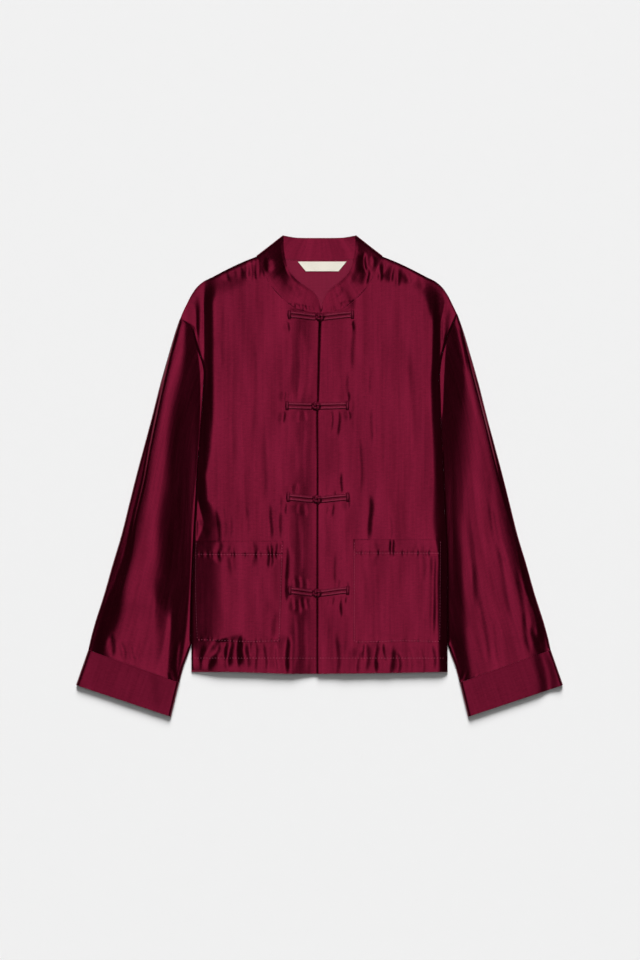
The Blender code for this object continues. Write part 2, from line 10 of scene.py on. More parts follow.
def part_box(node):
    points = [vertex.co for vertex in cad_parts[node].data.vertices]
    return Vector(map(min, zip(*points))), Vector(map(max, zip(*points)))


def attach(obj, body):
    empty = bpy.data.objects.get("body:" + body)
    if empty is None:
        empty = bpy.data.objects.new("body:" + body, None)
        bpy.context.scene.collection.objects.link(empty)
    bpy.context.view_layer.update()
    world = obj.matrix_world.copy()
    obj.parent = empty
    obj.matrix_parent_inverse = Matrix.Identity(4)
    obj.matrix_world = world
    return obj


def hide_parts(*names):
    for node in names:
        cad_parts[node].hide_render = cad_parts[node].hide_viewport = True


mm = 0.001
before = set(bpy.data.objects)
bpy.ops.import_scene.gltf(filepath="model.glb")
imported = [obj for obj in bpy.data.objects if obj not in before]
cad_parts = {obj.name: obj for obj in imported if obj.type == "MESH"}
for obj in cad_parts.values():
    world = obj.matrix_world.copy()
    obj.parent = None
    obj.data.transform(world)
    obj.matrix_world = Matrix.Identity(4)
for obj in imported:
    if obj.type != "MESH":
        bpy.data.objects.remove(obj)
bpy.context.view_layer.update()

body = {
    "hemY": -294.0,
    "neckY": 243.0,
    # Y and X of the right front's free edge, which lies on top, and how wide it rolls under
    "rightEdge": [(-300, -3.2), (-176, -3.4), (0, -3.0), (90, -3.4), (130, -1.8), (175, -0.7), (230, 1.2),
                  (250, 1.2)],
    "rollWidth": [(-300, 1.2), (90, 1.2), (140, 1.6), (215, 2.0), (250, 1.6)],
    "rollDepth": 0.35,
    "underlap": 18.0,         # the left front runs on to here under it
    "underlapDrop": 2.6,
    "underlapStart": -3.5,    # the drop fades from here over the next width
    "underlapFade": 46.0,
    "lowestFront": 2.7,
    "collarY": 252.0,         # above it the fronts lie under the collar
    # the narrow dip of the left front beside the right one's edge: Y, and width or depth
    "gapWidth": [(-300, 0.7), (90, 0.8), (130, 1.2), (215, 2.2), (250, 2.2)],
    "gapDepth": [(-300, 0.35), (90, 0.4), (130, 0.5), (215, 0.8), (250, 1.0)],
    "edgeHeight": 3.2,        # two layers pressed together at a seam
    "frontWall": 1.3,
    "backWall": 1.2,
    "seamGap": 0.08,
    # side seam from the armhole top to the hem: distance from the centre line, and Y
    "sideRight": [(206.2, 243), (197.2, 222), (190, 203), (183.7, 181.5), (180, 154.5), (180.8, 121),
                  (182.6, 70), (184.5, 38), (186.2, -5), (188.5, -60), (190.5, -100), (191.8, -200),
                  (192, -300)],
    "sideLeft": [(209, 235.5), (192.8, 226.5), (187, 206), (181, 185), (175.5, 170), (173, 158), (173.6, 140),
                 (176.5, 99), (180, 50), (183.2, 0), (185.6, -50), (188, -97), (190.5, -160), (191.8, -210),
                 (192, -300)],
    # the left one runs on to the left armhole's top
    "shoulder": [(94, 329.3), (114.8, 321), (140.2, 309), (161.2, 298), (174.8, 291), (183.5, 283.5),
                 (191.2, 273), (199, 258), (206.2, 243)],
    "neckline": [(18, 246.5), (34, 251), (53, 264), (74, 287), (83, 306), (94, 329.3)],
}
backLow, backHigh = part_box("back")
# what packing added to the part's own places
shift = Vector(((backLow.x + backHigh.x) / 2.0, backLow.y - body["hemY"] * mm, backLow.z))
print("frame loaded", tuple(round(v, 5) for v in shift))


# Small helpers
def lerp(a, b, t):
    return a + (b - a) * t


def rise(t):
    t = np.clip(t, 0.0, 1.0)
    return t * t * (3.0 - 2.0 * t)


def roundOff(t):
    return np.sqrt(1 - (1 - t) ** 2)


def spline(knots, values, at):
    # a smooth curve through values at knots; values may have several columns
    knots, values, at = (np.asarray(a, float) for a in (knots, values, at))
    slopes = np.gradient(values, knots, axis=0)
    i = np.clip(np.searchsorted(knots, at, side="right") - 1, 0, len(knots) - 2)
    span = knots[i + 1] - knots[i]
    t = np.clip((at - knots[i]) / span, 0.0, 1.0)
    span, t = (a.reshape(a.shape + (1,) * (values.ndim - 1)) for a in (span, t))
    return ((1 + 2 * t) * (1 - t) ** 2 * values[i] + t * (1 - t) ** 2 * span * slopes[i]
            + t * t * (3 - 2 * t) * values[i + 1] + t * t * (t - 1) * span * slopes[i + 1])


def runLengths(points):
    steps = np.linalg.norm(np.diff(np.asarray(points, float), axis=0), axis=1)
    return np.concatenate(([0.0], np.cumsum(steps)))


def smoothPath(points, count):
    run = runLengths(points)
    return spline(run, points, np.linspace(0.0, run[-1], count))


def pathX(path, y):
    # x of a path whose y falls from its first point to its last
    return np.interp(y, path[::-1, 1], path[::-1, 0])


def distanceTo(path, x, y):
    best = np.full(np.shape(x), 1e9)
    for (ax, ay), (bx, by) in zip(path[:-1], path[1:]):
        dx, dy = bx - ax, by - ay
        t = np.clip(((x - ax) * dx + (y - ay) * dy) / (dx * dx + dy * dy), 0.0, 1.0)
        best = np.minimum(best, np.hypot(x - ax - t * dx, y - ay - t * dy))
    return best


def creaseHeight(creases, x, y):
    # soft folds given one by one: both ends, half width, height (a trough is negative), and lean, which draws
    # out the flank to the right of the fold's own direction when it is above zero and the left one when below
    total = np.zeros(np.shape(x))
    for x1, y1, x2, y2, wide, high, lean in creases:
        dx, dy = x2 - x1, y2 - y1
        length = math.hypot(dx, dy)
        along = ((x - x1) * dx + (y - y1) * dy) / length ** 2
        off = ((x - x1) * dy - (y - y1) * dx) / length
        off = off + 0.22 * wide * np.sin(along * 5.3 + x1 * 0.7)
        flank = np.where(off * lean > 0, 1 + 2.6 * abs(lean), 1 - 0.25 * abs(lean))
        ends = rise((along + 0.1) / 0.38) * rise((1.1 - along) / 0.38)
        total += high * ends * np.exp(-(off / (wide * flank * (0.6 + 0.4 * ends))) ** 2)
    return total


def waves(x, y, seed):
    # slow unevenness of cloth that was laid down by hand
    return (0.30 * np.sin(x / 13.7 + y / 160 + seed) + 0.26 * np.sin(x / 21.3 - y / 110 + 2.1 * seed)
            + 0.18 * np.sin(x / 8.1 + y / 210 + 3.7 * seed) * np.sin(y / 57 + seed)
            + 0.22 * np.sin(y / 43 + x / 95 + 1.3 * seed))


# Mesh builders
def finishPiece(bm, name, material):
    bmesh.ops.recalc_face_normals(bm, faces=bm.faces[:])
    mesh = bpy.data.meshes.new(name)
    bm.to_mesh(mesh)
    bm.free()
    mesh.materials.append(material)
    mesh.shade_smooth()
    made = bpy.data.objects.new(name, mesh)
    bpy.context.scene.collection.objects.link(made)
    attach(made, "root")
    return made


def gridMesh(points, weave=None, closed=False):
    # a grid whose vertices are moved onto rows of points; closed joins its first and last columns
    rows, columns = points.shape[:2]
    bm = bmesh.new()
    bmesh.ops.create_grid(bm, x_segments=columns - 1, y_segments=rows - 1, size=0.5, calc_uvs=False)
    layer = bm.loops.layers.uv.new("weave")
    weave = points[..., :2] if weave is None else weave
    place = {}
    for vert in bm.verts:
        place[vert.index] = (round((vert.co.y + 0.5) * (rows - 1)), round((vert.co.x + 0.5) * (columns - 1)))
    for face in bm.faces:
        for loop in face.loops:
            loop[layer].uv = weave[place[loop.vert.index]] * mm
    for vert in bm.verts:
        vert.co = Vector(points[place[vert.index]]) * mm + shift
    if closed:
        bmesh.ops.remove_doubles(bm, verts=bm.verts[:], dist=1e-6)
    for edge in bm.edges:
        edge.smooth = not edge.is_boundary      # so that a sheet's rim doesn't darken its face
    return bm


def addWall(made, thickness, offset=-1.0):
    wall = made.modifiers.new("wall", "SOLIDIFY")
    wall.thickness = thickness * mm
    wall.offset = offset


def faceUp(bm):
    # an open sheet's upper side looks up
    bm.normal_update()
    if sum(f.normal.z * f.calc_area() for f in bm.faces) < 0:
        bmesh.ops.reverse_faces(bm, faces=bm.faces[:])


# Materials
def newMaterial(name):
    made = bpy.data.materials.new(name)
    made.use_nodes = True
    nodes, links = made.node_tree.nodes, made.node_tree.links
    return made, nodes, links, nodes["Principled BSDF"]


def noiseOn(nodes, links, source, scale, detail, rough=0.5):
    # noise stretched by a mapping: scale is cycles per metre along each axis
    mapping = nodes.new("ShaderNodeMapping")
    mapping.inputs["Scale"].default_value = scale
    links.new(source, mapping.inputs["Vector"])
    noise = nodes.new("ShaderNodeTexNoise")
    noise.inputs["Scale"].default_value = 1.0
    noise.inputs["Detail"].default_value = detail
    noise.inputs["Roughness"].default_value = rough
    links.new(mapping.outputs["Vector"], noise.inputs["Vector"])
    return noise.outputs["Fac"]


def between(nodes, links, value, low, high, start=0.3, end=0.7):
    spread = nodes.new("ShaderNodeMapRange")
    spread.inputs["From Min"].default_value = start
    spread.inputs["From Max"].default_value = end
    spread.inputs["To Min"].default_value = low
    spread.inputs["To Max"].default_value = high
    links.new(value, spread.inputs["Value"])
    return spread.outputs["Result"]


def addUp(nodes, links, a, b, kind="ADD"):
    node = nodes.new("ShaderNodeMath")
    node.operation = kind
    for place, value in enumerate((a, b)):
        if isinstance(value, float):
            node.inputs[place].default_value = value
        else:
            links.new(value, node.inputs[place])
    return node.outputs["Value"]


def colourBy(nodes, links, value, shader, low, high, start=0.0):
    # the base colour runs from low to high with a value
    ramp = nodes.new("ShaderNodeValToRGB")
    first, last = ramp.color_ramp.elements
    first.position, first.color = start, (*low, 1.0)
    last.color = (*high, 1.0)
    links.new(value, ramp.inputs["Fac"])
    links.new(ramp.outputs["Color"], shader.inputs["Base Color"])


def bumpBy(nodes, links, value, shader, strength, distance):
    bump = nodes.new("ShaderNodeBump")
    bump.inputs["Strength"].default_value = strength
    bump.inputs["Distance"].default_value = distance
    links.new(value, bump.inputs["Height"])
    links.new(bump.outputs["Normal"], shader.inputs["Normal"])


def satinMaterial(name, finish):
    made, nodes, links, shader = newMaterial(name)
    weave = nodes.new("ShaderNodeUVMap")
    weave.uv_map = "weave"
    # short level weft slubs, long warp streaks, and slow shading along the warp
    threads = noiseOn(nodes, links, weave.outputs["UV"], (110, 460, 1), 4.0, 0.65)
    warp = noiseOn(nodes, links, weave.outputs["UV"], (230, 10, 1), 3.0, 0.55)
    cloudy = noiseOn(nodes, links, weave.outputs["UV"], (40, 7, 1), 2.0, 0.5)
    mixed = addUp(nodes, links, between(nodes, links, threads, 0.0, 0.36, 0.32, 0.7),
                  between(nodes, links, warp, 0.0, 0.3, 0.32, 0.68))
    shade = addUp(nodes, links, mixed, between(nodes, links, cloudy, 0.0, finish["clouds"]))
    colourBy(nodes, links, shade, shader, finish["deep"], finish["bright"], 0.1)
    rough = between(nodes, links, mixed, finish["rough"] - 0.03, finish["rough"] + 0.05, 0.2, 0.9)
    links.new(rough, shader.inputs["Roughness"])
    shader.inputs["Metallic"].default_value = finish["metallic"]
    shader.inputs["Sheen Weight"].default_value = finish["sheen"]
    shader.inputs["Sheen Roughness"].default_value = 0.4
    shader.inputs["Sheen Tint"].default_value = (0.9, 0.25, 0.4, 1.0)
    bumpBy(nodes, links, mixed, shader, finish["bump"], 0.0004)
    return made


satinFinish = {"deep": (0.085, 0.0026, 0.0130), "bright": (0.185, 0.0078, 0.0310), "clouds": 0.42,
               "rough": 0.25, "metallic": 0.96, "sheen": 0.0, "bump": 0.09}
insideFinish = dict(satinFinish, deep=(0.20, 0.006, 0.032), bright=(0.29, 0.012, 0.052), rough=0.42,
                    metallic=0.75, clouds=0.15)
cuffFinish = dict(satinFinish, rough=0.32, clouds=0.15, bump=0.05, deep=(0.095, 0.0030, 0.0150),
                  bright=(0.200, 0.0086, 0.0345))
cordFinish = dict(satinFinish, rough=0.34, metallic=0.72, bump=0.4, clouds=0.0, deep=(0.15, 0.006, 0.026),
                  bright=(0.32, 0.017, 0.060))

satin = satinMaterial("satin", satinFinish)
satinInside = satinMaterial("satinInside", insideFinish)
satinCuff = satinMaterial("satinCuff", cuffFinish)
satinCord = satinMaterial("satinCord", cordFinish)


def labelMaterial():
    made, nodes, links, shader = newMaterial("labelTape")
    weave = nodes.new("ShaderNodeUVMap")
    weave.uv_map = "weave"
    ribs = noiseOn(nodes, links, weave.outputs["UV"], (300, 2200, 1), 2.0)
    colourBy(nodes, links, ribs, shader, (0.66, 0.60, 0.50), (0.86, 0.83, 0.75))
    shader.inputs["Roughness"].default_value = 0.7
    bumpBy(nodes, links, ribs, shader, 0.4, 0.0002)
    return made


def threadMaterial():
    made, nodes, links, shader = newMaterial("thread")
    spot = nodes.new("ShaderNodeTexCoord")
    twist = noiseOn(nodes, links, spot.outputs["Object"], (2500, 2500, 2500), 1.0)
    colourBy(nodes, links, twist, shader, (0.20, 0.035, 0.07), (0.36, 0.10, 0.15))
    shader.inputs["Roughness"].default_value = 0.45
    return made


labelTape = labelMaterial()
thread = threadMaterial()
print("materials made")

# Fronts
fronts = {
    "rows": 272,
    "columns": 148,
    "loft": 8.3,
    "hemLoft": 7.2,
    "hemRound": 34.0,
    "middleDip": 1.0,         # how much flatter it lies beside the closure, and how far out
    "middleWide": 45.0,
    "uneven": (0.2, 0.6, 50.0),     # of the slow waves: at the middle, what the side adds, and from where
    "creaseFade": 6.0,
    "shoulderFrom": 190.0,
    "shoulderRound": 34.0,
    "rimShare": 0.35,
    # the fall to the side at some heights: where it begins, is at its steepest and ends
    "sideFallRight": [(-300, 175, 185, 192), (-216, 175, 185, 191.5), (-110, 173, 184, 190),
                      (-66, 165, 183, 188.5), (-8, 169, 182, 186), (37, 168, 181, 184.5), (99, 166, 176, 180),
                      (144, 166, 174, 178.5), (196, 168, 176.5, 181.6), (231, 168, 176, 182),
                      (262, 156, 174, 188), (300, 148, 164, 180)],
    "sideFallLeft": [(-300, 132, 173, 192), (-256, 158, 173, 191.5), (-240, 142, 171, 191),
                     (-216, 134, 168, 190.5), (-110, 144, 165, 189), (-73, 136, 166, 173),
                     (-36, 166, 176, 182), (0, 169, 180, 183), (39, 160, 175, 180), (84, 156, 172, 176),
                     (174, 156, 168, 174), (260, 157, 168, 174), (300, 148, 160, 170)],
    "ledge": 0.8,             # what is left beyond it, up to the edge
    "ledgeRound": 1.8,
    "shoulderRim": 2.5,
    "hemLine": [(-192, -290.5), (-150, -293), (-49, -296.5), (0, -296.5), (100, -295.5), (192, -293.5)],
    "hemCurve": 90.0,
    "straightTo": -150.0,     # up to here the rows are level
    "bulgeRow": 4,            # the shoulder's curve comes in above this row
    "bulgePower": 1.3,
    # rows above the armhole: inner X and Y, outer Y on the right and on the left
    "upperRows": [(None, 38, 38, 38), (None, 66, 56, 56), (None, 90, 72, 72), (None, 104.5, 88, 88),
                  (None, 122, 104, 104), (None, 150, 121, 121), (None, 178, 138, 138),
                  (None, 205, 154.5, 154.5), (None, 228, 168, 168), (None, 243, 181.5, 181),
                  (18, 246.5, 192, 192), (34, 251, 203, 203), (53, 264, 213, 212), (74, 287, 222, 220),
                  (83, 306, 232, 226.5), (94, 329.3, 243, 235.5)],
}

# the row of small gathers above the top frog, on the collar and the fronts
topGathers = [(35, 262, 32, 247, 1.7, -0.5, 0.4), (40, 263, 37, 247, 1.7, -0.7, 0.4),
              (45, 264, 42, 247, 1.7, -0.8, 0.4), (50, 265, 47, 247, 1.7, -0.7, 0.4),
              (29, 258, 27, 247, 1.7, -0.35, 0.4), (24, 256, 22, 247, 1.7, -0.4, 0.4),
              (18, 255, 16, 247, 1.7, -0.35, 0.4), (-36, 260, -34, 247, 1.7, -0.65, 0.4),
              (-31.5, 259, -29.5, 247, 1.7, -0.6, 0.4), (-27, 258, -25, 247, 1.7, -0.55, 0.4),
              (-22, 257, -20, 247, 1.7, -0.5, 0.4), (-16.5, 256, -15, 247, 1.7, -0.45, 0.4),
              (-11, 255, -10, 247, 1.7, -0.35, 0.4), (-41, 261, -39, 248, 1.7, -0.45, 0.4)]
rightCreases = [
    # beside the armhole
    (191, 258, 186, 192, 6.2, 0.8, 0.3), (179, 268, 174, 120, 5.2, -0.65, 0.8),
    (166, 250, 160, 150, 6, -0.4, 0.8), (152, 262, 150, 170, 7, -0.4, 0.7),
    # gathers beside the collar
    (97, 325, 95, 303, 2.6, -0.87, 0.4), (110, 316, 107, 290, 2.9, -1.13, 0.5),
    (124, 312, 138, 288, 3.1, -1.25, 0.5), (131, 309, 143, 291, 2.6, -0.68, 0.5),
    (89, 319, 92, 292, 3.3, 0.85, 0), (117, 312, 118, 284, 3.3, 0.69, 0),
    (150, 300, 155, 280, 3.3, -0.46, 0.5),
    # long creases off the ends of the frogs and between them
    (46, 240, 47, 156, 7.4, -0.66, 0.8), (40, 156, 38, 110, 5.8, -0.45, 0.8),
    (48, 120, 47, 60, 5, -0.29, 0.8), (73, 170, 74, 120, 4.4, -0.33, 0.8), (76, 104, 75, 48, 4.7, -0.38, 0.8),
    (60, 60, 60, -26, 4.4, -0.33, 0.8), (84, 236, 86, 150, 5.6, -0.24, 0.8),
    (96, 96, 97, 20, 5.8, -0.22, 0.8), (109, 186, 110, 90, 5.6, -0.24, 0.8),
    (131, 205, 137, 18, 10.1, -0.55, 0.9), (154, 130, 156, -30, 7.8, -0.38, 0.9),
    (144, 60, 145, -60, 5.8, -0.22, 0.8), (51.5, -36, 51.5, -95, 6, -0.46, 0.8),
    (72.5, -30, 72, -97, 7.4, -0.96, 0.8), (82, -20, 81, -90, 5.8, 0.27, 0),
    (105, -56, 105, -97, 4.7, -0.38, 0.7), (118, 40, 115, -70, 5.6, -0.29, 0.8),
    (16, 180, 15, 120, 6.7, 0.19, 0), (21, -112, 21, -172, 4.4, -0.37, 0.8),
    (24, -236, 24, -297, 6.9, -0.6, 0.8), (8, -60, 8, -140, 5.6, -0.19, 0.8),
    (36, -200, 37, -280, 5.8, -0.27, 0.8), (10, -210, 9, -290, 5.8, -0.22, 0.8),
    # puckers at the frogs
    (49, 234, 49, 218, 2.6, -0.45, 0.6), (27, 100, 27, 60, 4.3, -0.74, 0.7),
    (17, 100, 17, 66, 3.4, -0.52, 0.7), (43, 100, 44, 82, 2.6, -0.53, 0.6),
    (43, 126, 42, 108, 2.6, -0.45, 0.6), (34, 128, 33.5, 109, 2.9, -0.39, 0.6),
    (9, 98, 9, 80, 2.6, -0.25, 0.6), (31, 6, 31, -28, 3.6, -0.59, 0.7), (42, -22, 42, -52, 2.9, -0.56, 0.6),
    (19, -42, 18, -62, 2.9, -0.35, 0.6), (10, -44, 10, -58, 2.9, -0.3, 0.6),
    (22, -20, 22, -32, 2.9, -0.35, 0.6), (19, -181, 19, -194, 2.9, -0.42, 0.6),
    (30, -180, 30.5, -212, 3.6, -0.63, 0.7), (38, -180, 38, -192, 2.6, -0.41, 0.6),
    (11, -183, 11, -194, 2.6, -0.32, 0.6), (27, -154, 28, -170, 2.9, -0.3, 0.6),
    (41, -158, 41, -170, 2.6, -0.32, 0.6),
    # pleats under the pocket
    (55, -258, 55, -298, 6.2, -1.03, 0.7), (83, -248, 82, -296, 6.2, -1.37, 0.7),
    (94, -250, 96, -280, 3.9, -0.72, 0.7), (115, -262, 117, -298, 6.2, -1.23, 0.7),
    (107, -252, 106, -298, 5.2, 0.58, 0), (132, -252, 135, -298, 6.2, -0.75, 0.8),
    (150, -252, 154, -298, 6.2, -0.75, 0.8), (70, -250, 69, -292, 5.2, 0.5, 0),
    (168, -252, 170, -290, 5.2, -0.58, 0.8), (64, -250, 63, -275, 3.4, -0.44, 0.7)]
leftCreases = [
    # beside the armhole
    (-198, 266, -193, 205, 8, -1.44, 0), (-179, 282, -174, 156, 4.4, 0.76, 0.3),
    (-188, 275, -183, 204, 3.9, -0.54, 0.7), (-168, 290, -165, 80, 5, -0.69, 0.8),
    (-150, 262, -148, 150, 6, -0.4, 0.8), (-196, 262, -194, 236, 3.9, -0.43, 0.6),
    # gathers beside the collar
    (-102, 327, -102.5, 294, 2, -1.04, 0.5), (-96.5, 329, -97, 294, 2, -1.04, 0.5),
    (-91, 330, -90.5, 297, 2, -0.87, 0.5), (-86, 320, -85, 297, 2, -0.46, 0.5),
    (-118, 314, -117, 296, 2.4, -0.7, 0.5), (-128, 310, -128, 298, 2.4, -0.38, 0.5),
    (-139, 307, -138, 292, 2.6, -0.68, 0.5), (-108, 320, -109, 296, 2.4, 0.44, 0),
    # long creases
    (-29, 215, -34, 110, 7.8, -0.93, 0.7), (-18, 180, -20, 112, 5.6, -0.29, 0.6),
    (-47, 236, -48, 150, 5, -0.29, 0.8), (-51, 84, -52, 0, 5, -0.33, 0.8),
    (-24, 80, -26, -10, 5.8, -0.22, 0.8), (-38, 60, -39, -4, 5.8, -0.22, 0.7),
    (-156, -44, -153, -104, 5.3, -0.56, 0.8), (-146, -40, -143, -99, 5.3, -0.53, 0.7),
    (-136, -50, -134, -97, 3.8, -0.41, 0.7), (-126, -30, -125, -70, 4.4, -0.22, 0.7),
    (-110, -46, -110, -92, 4.4, -0.22, 0.7), (-90, -52, -90, -94, 4.4, -0.22, 0.7),
    (-76, -38, -76, -97, 5.6, -0.66, 0.7), (-61, -28, -61, -96, 5.3, -0.67, 0.7),
    (-68, -40, -68, -97, 4.4, 0.26, 0), (-183, -62, -172, -94, 6.9, -0.76, 0.6),
    (-186, -20, -176, -60, 5.8, -0.36, 0.6), (-52, -104, -51.5, -196, 6.3, -1.3, 0.6),
    (-52, -238, -51, -298, 6.9, -2.0, 0.5), (-44, -110, -43, -160, 4.4, -0.26, 0.8),
    (-100, 215, -104, 40, 9, -0.43, 0.9), (-132, 190, -131, 0, 7.8, -0.33, 0.9),
    (-74, 160, -72, 20, 6.7, -0.27, 0.9), (-112, 20, -115, -70, 6.7, -0.33, 0.9),
    (-84, 60, -86, -40, 5.6, -0.24, 0.9), (-62, 200, -63, 130, 5.8, -0.18, 0.8),
    (-30, -60, -31, -150, 5.8, -0.31, 0.8), (-22, -212, -24, -292, 5.8, -0.36, 0.8),
    (-38, -205, -39, -290, 5, -0.33, 0.8), (-160, 100, -158, -30, 7.8, -0.33, 0.9),
    # puckers at the frogs
    (-48, 232, -48, 216, 2.6, -0.45, 0.6), (-47, 262, -46, 250, 2.3, -0.35, 0.5),
    (-54, 98, -55, 78, 2.6, -0.57, 0.6), (-53, 128, -53, 110, 2.6, -0.49, 0.6),
    (-44, 126, -44, 109, 2.6, -0.32, 0.6), (-34, 98, -34, 80, 2.9, -0.3, 0.6),
    (-22, 98, -22, 82, 2.9, -0.26, 0.6), (-35, -12, -35, -28, 2.9, -0.51, 0.6),
    (-46, -14, -46, -30, 2.6, -0.37, 0.6), (-22, -42, -22, -60, 3.1, -0.41, 0.6),
    (-34, -42, -34, -56, 2.9, -0.3, 0.6), (-52, -40, -52, -58, 2.6, -0.45, 0.6),
    (-30, -150, -30, -170, 3.1, -0.58, 0.6), (-40, -152, -41, -170, 3.1, -0.45, 0.6),
    (-20, -154, -19, -170, 2.9, -0.3, 0.6), (-40, -182, -41, -202, 3.1, -0.63, 0.6),
    (-31, -183, -31, -206, 3.1, -0.58, 0.6), (-23, -183, -22, -200, 2.9, -0.56, 0.6),
    (-14, -184, -13, -198, 2.9, -0.47, 0.6),
    # pleats under the pocket
    (-152, -248, -168, -290, 7.1, -1.9, 0.5), (-140, -244, -146, -276, 5, -1.3, 0.6),
    (-122, -238, -126, -286, 7.1, -2.3, 0.5), (-132, -246, -139, -290, 4.4, 0.71, 0),
    (-160, -248, -178, -282, 5.2, 0.58, 0), (-112, -248, -110, -290, 5.2, 0.65, 0),
    (-98, -250, -97, -294, 5.6, -0.84, 0.7), (-84, -252, -83, -292, 4.7, -0.67, 0.7),
    (-68, -252, -66, -296, 4.4, -0.71, 0.7), (-104, -246, -106, -270, 3.1, -0.53, 0.6),
    (-176, -252, -182, -290, 4.4, -0.65, 0.7)]

sidePath = {1: smoothPath(body["sideRight"], 90), -1: smoothPath(body["sideLeft"], 90)}
shoulder = {1: body["shoulder"], -1: body["shoulder"] + body["sideLeft"][:1]}
shoulderPath = {side: smoothPath(shoulder[side], 60) for side in (1, -1)}


def bodyHeight(side, x, y):
    out = np.abs(x)
    toSide = pathX(sidePath[side], y) - out
    table = np.array(fronts["sideFallRight" if side > 0 else "sideFallLeft"], float)
    begins, steepest, ends = (np.interp(y, table[:, 0], table[:, k]) for k in (1, 2, 3))
    soft, steep = steepest - begins, ends - steepest
    fallen = np.clip(out - begins, 0.0, soft) ** 2 / (2 * soft) + np.clip(out - steepest, 0.0, steep)
    plain = lerp(fronts["hemLoft"], fronts["loft"], rise((y - body["hemY"]) / fronts["hemRound"]))
    plain = plain - fronts["middleDip"] * (1 - rise(out / fronts["middleWide"]))
    calm, more, wide = fronts["uneven"]
    plain = plain + waves(x, y, 1.0) * (calm + more * rise(out / wide)) - body["edgeHeight"] - fronts["ledge"]
    z = body["edgeHeight"] + fronts["ledge"] * rise(toSide / fronts["ledgeRound"])
    z = z + plain * (1 - fallen / (soft / 2.0 + steep))
    creases = (rightCreases if side > 0 else leftCreases) + topGathers
    z = z + creaseHeight(creases, x, y) * rise(toSide / fronts["creaseFade"])
    toShoulder = distanceTo(shoulderPath[side], out, y)
    rim, whole = rise(toShoulder / fronts["shoulderRim"]), rise(toShoulder / fronts["shoulderRound"])
    fall = fronts["rimShare"] * rim + (1 - fronts["rimShare"]) * whole
    z = np.where(y > fronts["shoulderFrom"], lerp(body["edgeHeight"], z, fall), z)
    return np.maximum(z, body["edgeHeight"])


def closureX(y, name="rightEdge"):
    # the right front's edge at some heights, or another of its tables
    table = np.array(body[name], float)
    return np.interp(y, table[:, 0], table[:, 1])


def frontHeight(side, x, y):
    # the body's height with the right front's rolled edge, or the left front's drop under it
    z = bodyHeight(side, x, y)
    free = y < body["collarY"]
    if side < 0:
        z = z - body["underlapDrop"] * (1 - rise((body["underlapStart"] - x) / body["underlapFade"])) * free
        beside = (closureX(y) - x) / closureX(y, "gapWidth")
        return np.maximum(z - closureX(y, "gapDepth") * (1 - rise(beside)) * free, body["lowestFront"])
    roll = 1 - np.clip((x - closureX(y)) / closureX(y, "rollWidth"), 0.0, 1.0)
    return z - body["rollDepth"] * roll ** 2 * free


def frontPlaces(side):
    # rows of places from the hem up to the neckline and shoulder, closure to side seam
    edge = closureX(body["neckY"]) if side > 0 else -body["underlap"]
    upper = fronts["upperRows"]
    lower = [body["hemY"], fronts["straightTo"]]
    innerY = np.array(lower + [r[1] for r in upper], float)
    outerY = np.array(lower + [r[2 if side > 0 else 3] for r in upper], float)
    innerX = np.array([edge, edge] + [edge if r[0] is None else r[0] for r in upper], float)
    corner = 2 + [r[0] is None for r in upper].index(False) - 1
    run = np.concatenate(([0.0], np.cumsum((np.diff(innerY) + np.diff(outerY)) / 2.0)))
    v = np.linspace(0.0, run[-1], fronts["rows"])
    neck = spline(run[corner:], np.stack([innerX, innerY], 1)[corner:], np.maximum(v, run[corner]))
    below = v < run[corner]
    inY = np.where(below, np.interp(v, run, innerY), neck[:, 1])[:, None]
    straight = closureX(inY[:, 0]) if side > 0 else np.full(len(v), edge)
    inX = np.where(below, straight, neck[:, 0])[:, None]
    outY = np.interp(v, run, outerY)[:, None]
    outX = pathX(sidePath[side], outY)
    u = np.linspace(0.0, 1.0, fronts["columns"])[None, :]
    line = smoothPath(shoulder[side], fronts["columns"])
    bulge = line - lerp(line[0], line[-1], u.T)
    above = run[fronts["bulgeRow"]]
    weight = rise((v[:, None] - above) / (run[-1] - above)) ** fronts["bulgePower"]
    x = lerp(inX, outX, u) + weight * bulge[None, :, 0]
    y = lerp(inY, outY, u) + weight * bulge[None, :, 1]
    hem = np.array(fronts["hemLine"], float)
    low = 1 - rise((y - body["hemY"]) / fronts["hemCurve"])
    y = y + (np.interp(side * x, hem[:, 0], hem[:, 1]) - body["hemY"]) * low
    return side * x, y


for side, word in ((-1, "left"), (1, "right")):
    x, y = frontPlaces(side)
    z = frontHeight(side, x, y)
    bm = gridMesh(np.stack([x, y, z], 2))
    faceUp(bm)
    made = finishPiece(bm, f"satin_front_{word}", satin)
    addWall(made, body["frontWall"])
    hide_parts(f"front_{word}")
print("fronts made")


# Back panel, seen at the neck and from below
back = {
    "rows": 70,
    "columns": 61,
    "neck": [(0, 323.1), (30, 323.5), (62, 325.8), (94, 329.3)],
    "armholeTop": {1: 243.0, -1: 235.5},
    "shoulderStart": 0.55,    # the share of the height above which the shoulder's curve comes in
    "clearance": 0.2,
}


